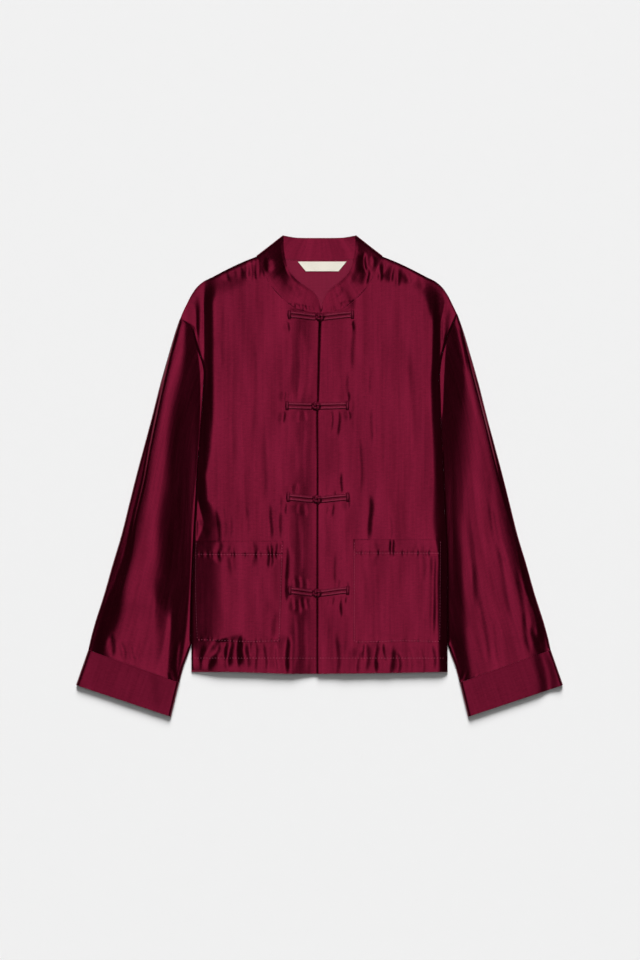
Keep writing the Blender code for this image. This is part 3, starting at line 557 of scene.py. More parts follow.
def buildBack():
    v = np.linspace(0.0, 1.0, back["rows"])[:, None]
    u = np.linspace(-1.0, 1.0, back["columns"])[None, :]
    neck = smoothPath(back["neck"], 40)
    lines = {side: np.concatenate([neck, smoothPath(shoulder[side], 40)[1:]]) for side in (1, -1)}
    xs, ys = np.zeros((back["rows"], back["columns"])), np.zeros((back["rows"], back["columns"]))
    for k, share in enumerate(u[0]):
        side = 1 if share >= 0 else -1
        line = lines[side]
        run = runLengths(line)
        tx = np.interp(abs(share) * run[-1], run, line[:, 0])
        ty = np.interp(abs(share) * run[-1], run, line[:, 1])
        topY = back["armholeTop"][side]
        level = lerp(body["hemY"], topY, v[:, 0])
        straightTop = abs(share) * pathX(sidePath[side], topY)
        lift = rise((v[:, 0] - back["shoulderStart"]) / (1 - back["shoulderStart"]))
        xs[:, k] = side * (abs(share) * pathX(sidePath[side], level) + lift * (tx - straightTop))
        ys[:, k] = level + lift * (ty - topY)
    zs = np.full_like(xs, body["backWall"])
    bm = gridMesh(np.stack([xs, ys, zs], 2))
    faceUp(bm)
    made = finishPiece(bm, "satin_back", satinInside)
    addWall(made, body["backWall"] - back["clearance"])
    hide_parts("back")


buildBack()
print("back made")

# Pockets
pockets = {
    "wall": 1.0,
    "gap": 0.5,
    "rows": 90,
    "columns": 78,
    "width": 132.0,
    "depth": 152.0,
    "mouth": 0.5,             # how far the mouth stands off
    "bow": 1.6,               # of the left one's outer edge
    "wave": 0.8,              # of the bottom edge
    "nearEnd": 0.8,           # the share from which the bow and the mouth come in
    # depth and half width of the dips at the hem stitching, at the edges and at the mouth's turned edge
    "hemDip": (0.5, 1.6),
    "edgeDip": (0.12, 1.2),
    "mouthDip": (0.8, 1.3),
    "puckerWide": (4.0, 5.0),   # along the hem stitching and the bottom edge
    # corners: top inner, top outer, bottom outer, bottom inner
    "right": [(50.7, -94.8), (183.0, -95.0), (181.8, -249.4), (50.6, -249.8)],
    "left": [(54.2, -97.4), (186.6, -97.2), (184.6, -248.0), (59.3, -249.6)],
    "hemDepth": 20.5,
}
pocketCreases = {
    1: [(108, -92, 108, -122, 2.9, -0.9, 0), (80, -94, 79, -140, 6.5, -0.45, 0),
        (150, -94, 152, -160, 6.5, -0.52, 0), (170, -96, 172, -246, 5.2, -0.83, 0),
        (74, -240, 130, -243, 5.2, -0.68, 0), (128, -120, 124, -220, 13, -0.3, 0),
        (62, -130, 62, -230, 7.8, -0.38, 0), (176, -130, 172, -240, 3.9, 0.6, 0)],
    -1: [(-74, -100, -74, -140, 3.9, -0.9, 0), (-62, -98, -62, -125, 3.4, -0.6, 0),
         (-100, -98, -101, -135, 5.2, -0.52, 0), (-131, -98, -131, -150, 5.2, -0.6, 0),
         (-150, -98, -153, -130, 5.2, -0.68, 0), (-118, -150, -113, -235, 13, -0.38, 0),
         (-84, -150, -86, -235, 10.4, -0.38, 0), (-70, -200, -72, -244, 6.5, -0.45, 0)],
}


def towardsEnd(share):
    return rise((share - pockets["nearEnd"]) / (1 - pockets["nearEnd"]))


def pocketPlaces(side):
    corners = np.array(pockets["right" if side > 0 else "left"], float)
    u = np.linspace(0.0, 1.0, pockets["columns"])[None, :, None]
    v = np.linspace(0.0, 1.0, pockets["rows"])[:, None, None]
    bottom, top = lerp(corners[3], corners[2], u), lerp(corners[0], corners[1], u)
    place = lerp(bottom, top, v)
    x, y = place[..., 0], place[..., 1]
    u, v = u[..., 0], v[..., 0]
    if side < 0:
        x = x + pockets["bow"] * np.sin(math.pi * v) * towardsEnd(u)
    y = y - pockets["wave"] * np.sin(u * math.pi * 2.0 + side) * (1 - v) ** 3
    return side * x, y, u, v


def pocketHeight(side, x, y, u, v):
    z = bodyHeight(side, x, y) + pockets["gap"] + pockets["wall"]
    z = z + creaseHeight(pocketCreases[side], x, y)
    z = z + pockets["mouth"] * towardsEnd(v) * np.sqrt(np.sin(math.pi * np.clip(u, 0, 1)))
    pucker = 0.16 * np.sin(x * 0.78 + side) + 0.12 * np.sin(x * 0.47 + 2.0) + 0.1 * np.sin(x * 1.13)
    top = y - (y[-1:, :] - pockets["hemDepth"])
    up = v * pockets["depth"]
    atHem, atBottom = pockets["puckerWide"]
    z = z + pucker * (np.exp(-(top / atHem) ** 2) + 0.8 * np.exp(-(up / atBottom) ** 2))
    edge = np.minimum(np.minimum(u, 1 - u) * pockets["width"], up)
    for name, away in (("hemDip", top), ("edgeDip", edge), ("mouthDip", pockets["depth"] - up)):
        deep, wide = pockets[name]
        z = z - deep * np.exp(-(away / wide) ** 2)
    return z


for side, word in ((-1, "left"), (1, "right")):
    x, y, u, v = pocketPlaces(side)
    z = pocketHeight(side, x, y, u, v)
    bm = gridMesh(np.stack([x, y, z], 2))
    faceUp(bm)
    made = finishPiece(bm, f"satin_pocket_{word}", satin)
    addWall(made, pockets["wall"])
    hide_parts(f"pocket_{word}")
print("pockets made")

# Sleeves
sleeves = {
    "rows": 176,
    "columns": 74,
    "wall": 1.0,
    "edgeHeight": 3.1,
    "outerEdge": [(206.7, 243), (215.2, 219), (226.5, 181.5), (239.2, 136.5), (250.5, 91.5), (262.5, 46.5),
                  (274.5, 1.5), (285.8, -43.5), (297, -88.5), (310.5, -133.5), (323.2, -178.5),
                  (337.5, -223.5), (343.5, -246), (346.6, -260.6)],
    "innerEdge": [(192.7, -254), (197.5, -268), (203.5, -284), (210.4, -309.6)],
    # outer Y, inner Y and how much of the armhole's curve is left, from the armhole to the cuff
    "stations": [(243, 38, 1), (229, 30, 0.86), (209, 20, 0.68), (184, 8, 0.5), (152, -8, 0.32),
                 (114, -28, 0.18), (72, -52, 0.08), (26, -82, 0), (-22, -116, 0), (-70, -152, 0),
                 (-118, -188, 0), (-165, -222, 0), (-208, -254, 0), (-240, -284, 0), (-260.6, -309.6, 0)],
    # at some heights, outwards from the body: the end of the pressed strip, of the steep slope and of the
    # easy one, where the crest ends, where the outer slope is steep and where the outer rim begins
    "profileRight": [(-310, 213, 224, 232, 318, 336, 352), (-249, 195.5, 214, 224, 302, 326, 342),
                     (-216, 183, 212, 223, 302, 326, 333), (-166, 178, 210, 217, 292, 308, 317),
                     (-116, 176, 206, 216, 274, 298, 303), (-66, 175, 200, 214, 260, 285, 290),
                     (-8, 175, 196, 222, 250, 269, 274), (38, 176, 199, 230, 246, 258, 262),
                     (99, 184, 208, 229, 235, 243, 246.5), (144, 186, 215, 221, 226, 231, 235),
                     (196, 189, 207, 211, 214, 218, 220.5), (243, 195, 199, 201, 204, 206, 207)],
    "profileLeft": [(-310, 213, 224, 232, 318, 334, 356), (-249, 201, 215.5, 226, 301, 318, 343.5),
                    (-216, 197.5, 215, 228, 290, 303, 334.5), (-166, 194, 226, 261, 283, 294, 319),
                    (-116, 191.5, 228, 250, 271, 281, 302), (-66, 190, 228, 248, 261, 274, 287),
                    (-8, 185, 221, 237, 251, 261, 270.5), (38, 181.5, 219, 233, 244, 253, 261),
                    (99, 178, 212, 226, 233, 241, 246.5), (181, 181, 199, 208, 216, 222, 226),
                    (243, 195, 199, 201, 204, 206, 207)],
    # tilts towards the body in degrees: on the crest, and how much more or less beside it and on the slopes
    "crestTilt": {1: 1.2, -1: 1.7},
    "besideCrest": 2.5,
    "onSlope": 11.6,
    "onOuterSlope": 9.4,
    "stripTilt": 0.3,
    "stripTurn": 1.5,         # how soon the steep slope is reached beyond the strip
    "pastDark": 60.0,
    "leastSpan": 0.5,
    "rimHeight": 4.8,
    "bodyEnd": -254.0,        # below it the inner edge hangs free of the body
    "outerRound": 16.0,
    "innerRound": 12.0,
    "foldOuter": 2.4,
    "foldInner": 1.3,
    "seamRound": (1.3, 0.14),     # its reach, and its share of the height
    "lowestTop": 3.0,
    "uneven": 0.7,
    "creaseShare": 0.8,
    # the left sleeve's second, easy slope near the cuff, and its outer part that falls gently, by Y
    "easyRise": [(-300, 0.0), (-262, 1.5), (-225, 2.4), (-190, 1.7), (-150, 0.0)],
    "easyFrom": [(-290, 231.0), (-150, 225.0)],
    "easySpan": 20.0,
    "easyEven": 0.7,          # the part of it that is an even slope
    "rimNarrowing": 0.09,
    "gentleRim": [(-200, 0.0), (-165, 4.0), (-120, 4.6), (-70, 4.4), (-10, 4.0), (60, 3.2), (110, 1.6),
                  (150, 0.0)],
    "gentleTilt": 4.6,
}
sleeveCreases = {
    1: [(286, 60, 302, -110, 7, -0.5, 0), (252, 20, 262, -120, 7, -0.5, 0.3), (240, 96, 248, -10, 8, -0.4, 0),
        (254, -34, 275, -132, 4.5, -0.45, 0), (271, -104, 291, -216, 4.2, -0.55, 0.2),
        (228, -130, 234, -204, 6, -0.45, 0), (243, -96, 262, -196, 4.4, -0.4, 0),
        (239, -184, 252, -282, 4.6, -0.4, 0), (284, -52, 303, -146, 4.2, -0.4, 0),
        (262, -212, 273, -288, 4.4, -0.45, 0), (296, -140, 314, -232, 4.4, -0.45, 0),
        (308, -206, 316, -264, 4.6, -0.6, 0), (320, -225, 330, -262, 5, -0.8, 0),
        (222, -60, 229, -200, 6, -0.45, 0), (206, 230, 222, 158, 3, 0.64, 0)],
    -1: [(-234, -150, -249, -268, 9, -0.3, 0.3), (-223, -205, -228, -300, 5, 0.7, 0),
         (-296, -100, -316, -180, 5, 0.4, 0), (-256, 90, -282, -30, 8, -0.4, 0),
         (-318, -200, -328, -262, 6, 0.7, 0), (-250, -210, -262, -290, 8, -0.5, 0),
         (-212, -246, -216, -300, 3, -0.7, 0), (-273, -250, -268, -276, 5, -0.5, 0),
         (-314, -238, -309, -270, 4, -0.7, 0.2), (-298, -248, -292, -276, 4, -0.6, 0),
         (-284, -250, -279, -280, 4, -0.5, 0)],
}
outerEdge = smoothPath(sleeves["outerEdge"], 120)
innerEdge = smoothPath(sleeves["innerEdge"], 30)
# gathers above the cuff: its inner corner, and the steps out and up that count as one across the gathers
cuffGathers = {"depth": 0.6, "reach": 26.0, "corner": (210.4, -309.6), "step": (0.94, 0.34)}


def sleeveTop(side):
    # places of the sleeve's upper side, armhole to cuff, outer edge to inner edge
    table = np.array(sleeves["stations"], float)
    at = np.linspace(0, len(table) - 1, sleeves["rows"])
    outerY, innerY, bow = spline(np.arange(len(table)), table, at).T
    upper = np.array([r[2 if side > 0 else 3] for r in fronts["upperRows"]], float)
    startY = upper[-1]
    outerY = np.minimum(outerY, startY) if side < 0 else outerY
    outerY[0], bow[0] = startY, 1.0
    share = np.linspace(0.0, 1.0, sleeves["columns"])
    seamY = spline(np.linspace(0, 1, len(upper)), upper[::-1], np.linspace(0, 1, 80))
    seam = np.stack([pathX(sidePath[side], seamY) + body["seamGap"], seamY], 1)
    run = runLengths(seam)
    seam = np.stack([np.interp(share * run[-1], run, seam[:, k]) for k in (0, 1)], 1)
    off = seam - lerp(seam[0], seam[-1], share[:, None])
    outPoint = np.stack([pathX(outerEdge, outerY), outerY], 1)
    outPoint[0] = seam[0]
    beside = pathX(sidePath[side], innerY) + body["seamGap"]
    inX = np.where(innerY > sleeves["bodyEnd"], beside, pathX(innerEdge, innerY))
    inPoint = np.stack([inX, innerY], 1)
    inPoint[0] = seam[-1]
    place = lerp(outPoint[:, None, :], inPoint[:, None, :], share[None, :, None])
    place = place + bow[:, None, None] * off[None]
    return place[..., 0], place[..., 1], seam


def tiltedRise(out, places, tilts):
    # the height gained going outwards, with a tilt at each place and even change between
    z = np.zeros(np.shape(out))
    slopes = [math.tan(math.radians(t)) for t in tilts]
    for near, far, first, last in zip(places, places[1:], slopes, slopes[1:]):
        span = np.maximum(far - near, 0.01)
        gone = np.clip(out - near, 0.0, span)
        z += first * gone + (last - first) * gone ** 2 / (2 * span)
    return z


def sleeveProfile(side, out, y):
    # the pressed strip, steep and easy slopes, crest, outer slope and rim, in that order outwards
    table = np.array(sleeves["profileRight" if side > 0 else "profileLeft"], float)
    columns = np.moveaxis(spline(table[:, 0], table[:, 1:], np.clip(y, table[0, 0], table[-1, 0])), -1, 0)
    start = np.where(y > sleeves["bodyEnd"], pathX(sidePath[side], y), pathX(innerEdge, y))
    strip, steep, crest, over, dark, rim = np.minimum(np.maximum(columns, start), pathX(outerEdge, y))
    flat, beside, fall = sleeves["crestTilt"][side], sleeves["besideCrest"], sleeves["onSlope"]
    outside = flat - sleeves["onOuterSlope"]
    turned = np.minimum(strip + sleeves["stripTurn"], steep)
    places = [start, strip, turned, steep, crest, over, dark, dark + sleeves["pastDark"]]
    pressed = sleeves["stripTilt"]
    tilts = [pressed, pressed, flat + fall, flat + fall, flat + beside, flat - beside, outside, outside]
    z = sleeves["edgeHeight"] + tiltedRise(out, places, tilts)
    span = np.maximum(rim - dark, sleeves["leastSpan"])
    if side > 0:
        return lerp(z, sleeves["rimHeight"], rise((out - dark) / span))
    easyRise, easyFrom, gentle = (np.array(sleeves[k], float) for k in ("easyRise", "easyFrom", "gentleRim"))
    easy = np.clip((out - np.interp(y, easyFrom[:, 0], easyFrom[:, 1])) / sleeves["easySpan"], 0.0, 1.0)
    easy = lerp(rise(easy), easy, sleeves["easyEven"])
    z = z + np.interp(y, easyRise[:, 0], easyRise[:, 1]) * easy
    raised = np.interp(y, gentle[:, 0], gentle[:, 1])
    span = span * (1 - sleeves["rimNarrowing"] * raised)
    beyond = np.maximum(out - dark - span, 0.0)
    rimZ = sleeves["rimHeight"] + raised - beyond * math.tan(math.radians(sleeves["gentleTilt"]))
    return lerp(z, rimZ, rise((out - dark) / span))


def sleeveHeight(side, out, y, outerPath, innerPath, seamPath):
    toOuter, toInner = distanceTo(outerPath, out, y), distanceTo(innerPath, out, y)
    toSeam = distanceTo(seamPath, out, y)
    loft = rise(toOuter / sleeves["outerRound"]) * rise(np.minimum(toInner, toSeam) / sleeves["innerRound"])
    x = side * out
    folds = sleeves["creaseShare"] * creaseHeight(sleeveCreases[side], x, y)
    z = sleeveProfile(side, out, y) + loft * (sleeves["uneven"] * waves(x, y, 2.0 + side) + folds)
    (cornerX, cornerY), (stepX, stepY) = cuffGathers["corner"], cuffGathers["step"]
    along = (out - cornerX) * stepX - (y - cornerY) * stepY
    above = (out - cornerX) * stepY + (y - cornerY) * stepX
    gather = (0.45 * np.sin(along * 0.71 + side) + 0.3 * np.sin(along * 0.43 + 1.0)
              + 0.25 * np.sin(along * 1.07))
    z = z + loft * cuffGathers["depth"] * gather * (1 - rise(above / cuffGathers["reach"]))
    # the fold of the cloth at both long edges
    turn = np.clip(np.minimum(toOuter / sleeves["foldOuter"], toInner / sleeves["foldInner"]), 0.0, 1.0)
    reach, share = sleeves["seamRound"]
    seam = 1 - share + share * roundOff(np.clip(toSeam / reach, 0.0, 1.0))
    return np.maximum(z, sleeves["lowestTop"]) * (0.5 + 0.5 * roundOff(turn)) * seam


def closeTube(x, y, z):
    # carry the upper side on round the inner edge and back along the floor
    shares = np.array([0.006, 0.018, 0.035, 0.1, 0.25, 0.5, 0.75, 0.9, 0.965, 0.982, 0.994])[::-1]
    floorZ = np.array([0.9, 0.25, 0.0, 0.0, 0.0, 0.0, 0.0, 0.0, 0.0, 0.25, 0.9])
    at = shares * (x.shape[1] - 1)
    low = np.floor(at).astype(int)
    part = (at - low)[None, :]
    fx = lerp(x[:, low], x[:, np.minimum(low + 1, x.shape[1] - 1)], part)
    fy = lerp(y[:, low], y[:, np.minimum(low + 1, x.shape[1] - 1)], part)
    fz = np.repeat(floorZ[None, :], x.shape[0], 0)
    ring = [np.concatenate([a, b, a[:, :1]], 1) for a, b in ((x, fx), (y, fy), (z, fz))]
    return np.stack(ring, 2)


def tubeWeave(points, flip):
    # across and along lengths of a flattened tube, for its threads
    across = np.linalg.norm(np.diff(points, axis=1), axis=2)
    across = np.concatenate([np.zeros((points.shape[0], 1)), np.cumsum(across, 1)], 1)
    middle = points[:, points.shape[1] // 3]
    along = np.repeat(runLengths(middle)[:, None], points.shape[1], 1)
    return np.stack([across * flip, along], 2)


for side, word in ((-1, "left"), (1, "right")):
    out, y, seam = sleeveTop(side)
    outerPath = np.stack([out[::4, 0], y[::4, 0]], 1)
    innerPath = np.stack([out[::4, -1], y[::4, -1]], 1)
    z = sleeveHeight(side, out, y, outerPath, innerPath, seam[::3])
    points = closeTube(side * out, y, z)
    bm = gridMesh(points, tubeWeave(points, side), closed=True)
    made = finishPiece(bm, f"satin_sleeve_{word}", satin)
    addWall(made, sleeves["wall"])
    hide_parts(f"sleeve_{word}")
print("sleeves made")

# Cuffs
cuffs = {
    "rows": 26,
    "columns": 66,
    "wall": 1.3,
    "crest": 6.0,
    "edgeHeight": 5.5,
    "outerRound": 5.0,
    "innerRound": 5.0,
    "foldRound": 1.8,
    "uneven": 0.25,
    "top": [(346.8, -260.8), (210.5, -309.9)],
    "end": [(365.2, -313.5), (222.8, -361.0)],
}
cuffCreases = {1: [(331, -258, 349, -345, 11, -2.2, 0), (246, -305, 256, -350, 12, -0.5, 0)],
               -1: [(-330, -275, -346, -318, 9, -0.3, 0), (-246, -296, -262, -350, 14, -0.8, 0.3)]}


def buildCuff(side, word):
    t = np.linspace(0.0, 1.0, cuffs["rows"])[:, None, None]
    s = np.linspace(0.0, 1.0, cuffs["columns"])[None, :, None]
    top, end = np.array(cuffs["top"], float), np.array(cuffs["end"], float)
    place = lerp(lerp(top[0], end[0], t), lerp(top[1], end[1], t), s)
    out, y = place[..., 0], place[..., 1]
    s, t = s[..., 0], t[..., 0]
    length = np.linalg.norm(place[:, -1] - place[:, 0], axis=1)[:, None]
    loft = rise(s * length / cuffs["outerRound"]) * rise((1 - s) * length / cuffs["innerRound"])
    z = lerp(cuffs["edgeHeight"], cuffs["crest"], loft)
    z = z + loft * creaseHeight(cuffCreases[side], side * out, y)
    z = z + loft * cuffs["uneven"] * waves(side * out, y, 5.0)
    turn = np.clip(np.minimum(s, 1 - s) * length / cuffs["foldRound"], 0.0, 1.0)
    z = z * (0.5 + 0.5 * roundOff(turn))
    points = closeTube(side * out, y, z)
    bm = gridMesh(points, tubeWeave(points, side), closed=True)
    made = finishPiece(bm, f"satin_cuff_{word}", satinCuff)
    addWall(made, cuffs["wall"])
    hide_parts(f"cuff_{word}")


buildCuff(-1, "left")
buildCuff(1, "right")
print("cuffs made")

# Collar
collar = {
    "wall": 1.5,
    "columns": 190,
    "rows": 34,
    # height of the free edge from the front end to the side, left and right
    "freeLeft": [6.2, 6.5, 7.0, 7.6, 8.3, 9.2, 10.3, 11.6, 12.2, 11.2, 9.2, 7.0],
    "freeRight": [7.0, 7.0, 7.2, 7.6, 8.2, 8.8, 9.4, 9.7, 9.6, 9.0, 8.0, 6.8],
    "steepening": 1.7,
    "lip": 0.88,              # the share from which the free edge lies flat
    "stand": 34.0,
    "footEnd": (0.6, 1.2),    # right of the centre line and above the neckline's lowest point
    "frontReach": 30.0,
    # how far right of the centre line the foot's ends and the free edge's ends lie
    "footShift": 1.2,
    "freeShiftLeft": 4.2,
    "freeShiftRight": 1.2,
    "freeEdge": [(1.4, 247.5), (5, 264), (11.5, 275.5), (17.5, 281), (24, 286), (31, 291.3), (37, 297),
                 (43, 304), (47.5, 312.5), (50.5, 322), (52.8, 333), (54, 345.5)],
    # the side fold and the back: foot x, y, z and top x, y, z
    "foldAndBack": [(92.5, 326.6, 3.5, 54, 357, 4.9), (93.7, 329.1, 2.2, 54.2, 360.4, 2.9),
                    (91.0, 329.4, 0.9, 52, 360.2, 2.4), (62, 325.9, 0.9, 36, 357.6, 0.9),
                    (30, 323.6, 0.9, 18, 357, 0.9), (0, 323.2, 0.9, 0, 357, 0.9)],
}


collarCreases = [(66, 334, 68, 305, 3.4, -1.3, 0.4), (72, 312, 70, 284, 3.8, -1.2, 0.4),
                 (80, 330, 82, 312, 3.5, 0.7, 0), (56, 318, 44, 288, 6, 0.5, 0),
                 (34, 284, 20, 268, 5, -0.5, 0.3), (-80, 326, -76, 306, 3.4, 1.2, -0.4),
                 (-62, 300, -50, 286, 6, -0.2, 0.3), (-44, 286, -28, 270, 6, 0.4, 0)]


def collarFoot():
    # the neckline and its midpoints, a seam's gap inside it
    endX, endUp = collar["footEnd"]
    corners = np.array([(endX, body["neckY"] + endUp)] + body["neckline"], float)
    dense = np.empty((2 * len(corners) - 1, 2))
    dense[::2], dense[1::2] = corners, (corners[1:] + corners[:-1]) / 2.0
    ahead = np.concatenate([dense[1:], dense[-1:]]) - np.concatenate([dense[:1], dense[:-1]])
    ahead /= np.linalg.norm(ahead, axis=1)[:, None]
    return (dense + body["seamGap"] * np.stack([-ahead[:, 1], ahead[:, 0]], 1))[:-1]


def collarHalf(side):
    foot = collarFoot()
    footZ = bodyHeight(side, side * foot[:, 0], foot[:, 1]) - collar["wall"] / 2.0
    fold = np.array(collar["foldAndBack"], float)
    feet = np.concatenate([np.column_stack([foot, footZ]), fold[:, :3]])
    free = np.column_stack([collar["freeEdge"], collar["freeRight" if side > 0 else "freeLeft"]])
    tops = np.concatenate([free, fold[:, 3:]])
    front = np.concatenate([np.ones(len(foot)), np.zeros(len(fold))])
    reach = collar["frontReach"]
    near = np.where(feet[:, 1] < body["neckY"] + reach, 1 - rise(tops[:, 0] / reach), 0.0)
    at = np.linspace(0, len(feet) - 1, collar["columns"] // 2)
    index = np.arange(len(feet))
    feet, tops = spline(index, feet, at), spline(index, tops, at)
    front, near = np.clip(spline(index, front, at), 0.0, 1.0)[None], spline(index, near, at)
    t = np.linspace(0.0, 1.0, collar["rows"])[:, None]
    place = lerp(feet[None], tops[None], t[..., None])
    freeShift = collar["freeShiftRight" if side > 0 else "freeShiftLeft"]
    place[..., 0] = side * place[..., 0] + near[None] * lerp(collar["footShift"], freeShift, t)
    bent = np.minimum(t / collar["lip"], 1.0) ** collar["steepening"]
    footHeight, topHeight = feet[None, :, 2], tops[None, :, 2]
    place[..., 2] = lerp(place[..., 2], lerp(footHeight, topHeight, bent), front)
    ease = front * np.sqrt(np.maximum(np.sin(math.pi * t), 0.0))
    place[..., 2] += ease * creaseHeight(collarCreases, place[..., 0], place[..., 1])
    place[..., 2] += front * creaseHeight(topGathers, place[..., 0], place[..., 1])
    return place


def buildCollar():
    left, right = collarHalf(-1), collarHalf(1)
    points = np.concatenate([left, right[:, -2::-1]], 1)
    run = runLengths(points[0])
    up = np.linspace(0, collar["stand"], points.shape[0])[:, None]
    weave = np.stack(np.broadcast_arrays(run[None, :], up), 2)
    bm = gridMesh(points, weave)
    faceUp(bm)
    made = finishPiece(bm, "satin_collar", satin)
    addWall(made, collar["wall"], 0.0)
    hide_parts("collar")


buildCollar()
print("collar made")

# Label
label = {"centre": 4.0, "topHalf": 36.5, "bottomHalf": 24.5, "topY": 321.6, "height": 14.5, "wall": 0.8,
         "base": 1.6, "curl": 0.25}


def buildLabel():
    u = np.linspace(-1.0, 1.0, 30)[None, :]
    v = np.linspace(0.0, 1.0, 10)[:, None]
    x = label["centre"] + u * lerp(label["bottomHalf"], label["topHalf"], v)
    y = label["topY"] - label["height"] * (1 - v) + 0 * u
    z = label["base"] + label["wall"] + label["curl"] * np.sin(u * 5.0 + 1.0) * (1 - v)
    bm = gridMesh(np.stack([x, y, z], 2))
    faceUp(bm)
    made = finishPiece(bm, "neck_label", labelTape)
    addWall(made, label["wall"])
    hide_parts("label")


buildLabel()

# Frogs
frogs = {
    "cordRadius": 2.35,
    "flat": 0.6,             # the cord's height by its width
    "apart": 2.85,
    "loopRadius": 3.6,
    "knotReach": 6.2,
    "barReach": 7.0,
    "barRadius": 2.6,
    "barLift": [-0.6, 0.3, 1.0, 1.1, 1.0, 0.3, -0.6],
    "endTaper": 1.6,
    "sagReach": 46.0,
    "clear": 0.15,
    "collarLift": 0.4,
    "turnIn": (0.9, 1.2),    # of the left pair's closed end, beside its middle and at it
    "turnShare": 0.75,
    "loopNeck": 4.0,
    "flare": 0.4,            # of the right pair at its bar
    "barIn": {-1: 0.4, 1: 0.6},
    "endIn": 0.6,
    # the woven ball: how often its cord goes round, how steeply, its size, and how far it sits above the loop
    "knot": {"turns": 3, "tilt": 52.0, "size": 4.6, "swell": 0.8, "squash": 0.72, "cordRadius": 2.0,
             "lift": 3.4},
    # y, middle of the knot, left end, right end and how far the ends rise
    "places": [(238, 1.2, -47, 50.5, 4), (104.5, -4.5, -50.5, 43, 1), (-35.5, -3, -49, 43.5, 3.5),
               (-176, -3.5, -46.5, 43.5, 4.5)],
}


def clothTop(x, y):
    # the cloth under a frog's cord, with the collar's foot at the top one
    side = 1 if x > float(closureX(y)) else -1
    z = float(frontHeight(side, np.array([x]), np.array([min(y, body["neckY"])]))[0])
    return z + frogs["collarLift"] if y > body["neckY"] else z


def cordTube(path, radius, sides=14, flat=1.0, taperEnds=True):
    # a cord along a path, its ends drawn to a point and closed
    path = smoothPath(path, max(24, int(runLengths(path)[-1] / 0.8)))
    ahead = np.gradient(path, axis=0)
    ahead /= np.linalg.norm(ahead, axis=1)[:, None]
    across = np.stack([-ahead[:, 1], ahead[:, 0], np.zeros(len(path))], 1)
    across /= np.linalg.norm(across, axis=1)[:, None]
    up = np.cross(ahead, across) * flat
    run = runLengths(path)
    size = np.full(len(path), radius)
    if taperEnds:
        near = np.minimum(run, run[-1] - run)
        size = radius * roundOff(np.clip(near / frogs["endTaper"], 0, 1))
    angle = np.linspace(0.0, 2 * math.pi, sides + 1)[None, :, None]
    # a flattened cord has a flat top
    high = np.sign(np.sin(angle)) * np.abs(np.sin(angle)) ** (0.4 + 0.6 * flat)
    points = path[:, None] + size[:, None, None] * (np.cos(angle) * across[:, None] + high * up[:, None])
    around = np.linspace(0, 2 * math.pi * radius, sides + 1)[None, :] + run[:, None] * 0.7
    weave = np.stack(np.broadcast_arrays(around, run[:, None]), 2)
    return gridMesh(points, weave, closed=True)


def joinMeshes(first, *others):
    for other in others:
        carried = bpy.data.meshes.new("carried")
        other.to_mesh(carried)
        other.free()
        first.from_mesh(carried)
        bpy.data.meshes.remove(carried)
    return first


def liftPath(frog, flat):
    # a cord's X and offset in Y, laid on the cloth and rising in Y towards its ends
    y0, knotX, sag = frog[0], frog[1], frog[4]
    path = []
    for x, offset in flat:
        y = y0 + sag * float(rise(abs(x - knotX) / frogs["sagReach"])) + offset
        z = max(clothTop(x + dx, y + dy) for dx in (-2, 2) for dy in (-2, 2))
        path.append((x, y, z + frogs["cordRadius"] * frogs["flat"] + frogs["clear"]))
    return path


def endBar(frog, x):
    # the short cord sewn across the end of a pair
    reach = frogs["barReach"]
    path = np.array(liftPath(frog, [(x, t * reach) for t in (-1.0, -0.7, -0.35, 0.0, 0.35, 0.7, 1.0)]))
    path[:, 2] += frogs["barLift"]
    return cordTube(path, frogs["barRadius"], 12, 0.8)


def buildKnot(name, frog, middle):
    # a ball of cord woven round itself
    y0, knotX = frog[:2]
    knot = frogs["knot"]
    t = np.linspace(0.0, 2 * knot["turns"] * math.pi, 220)
    tilt = math.radians(knot["tilt"]) * np.sin(4 * t / 3)
    reach = knot["size"] + knot["swell"] * np.sin(8 * t / 3 + 0.6)
    x = knotX + reach * np.cos(tilt) * np.cos(t)
    y = y0 + reach * np.cos(tilt) * np.sin(t)
    z = middle + knot["squash"] * reach * np.sin(tilt)
    bm = cordTube(np.stack([x, y, z], 1), knot["cordRadius"], 10, 1.0, False)
    return finishPiece(bm, name, satinCord)


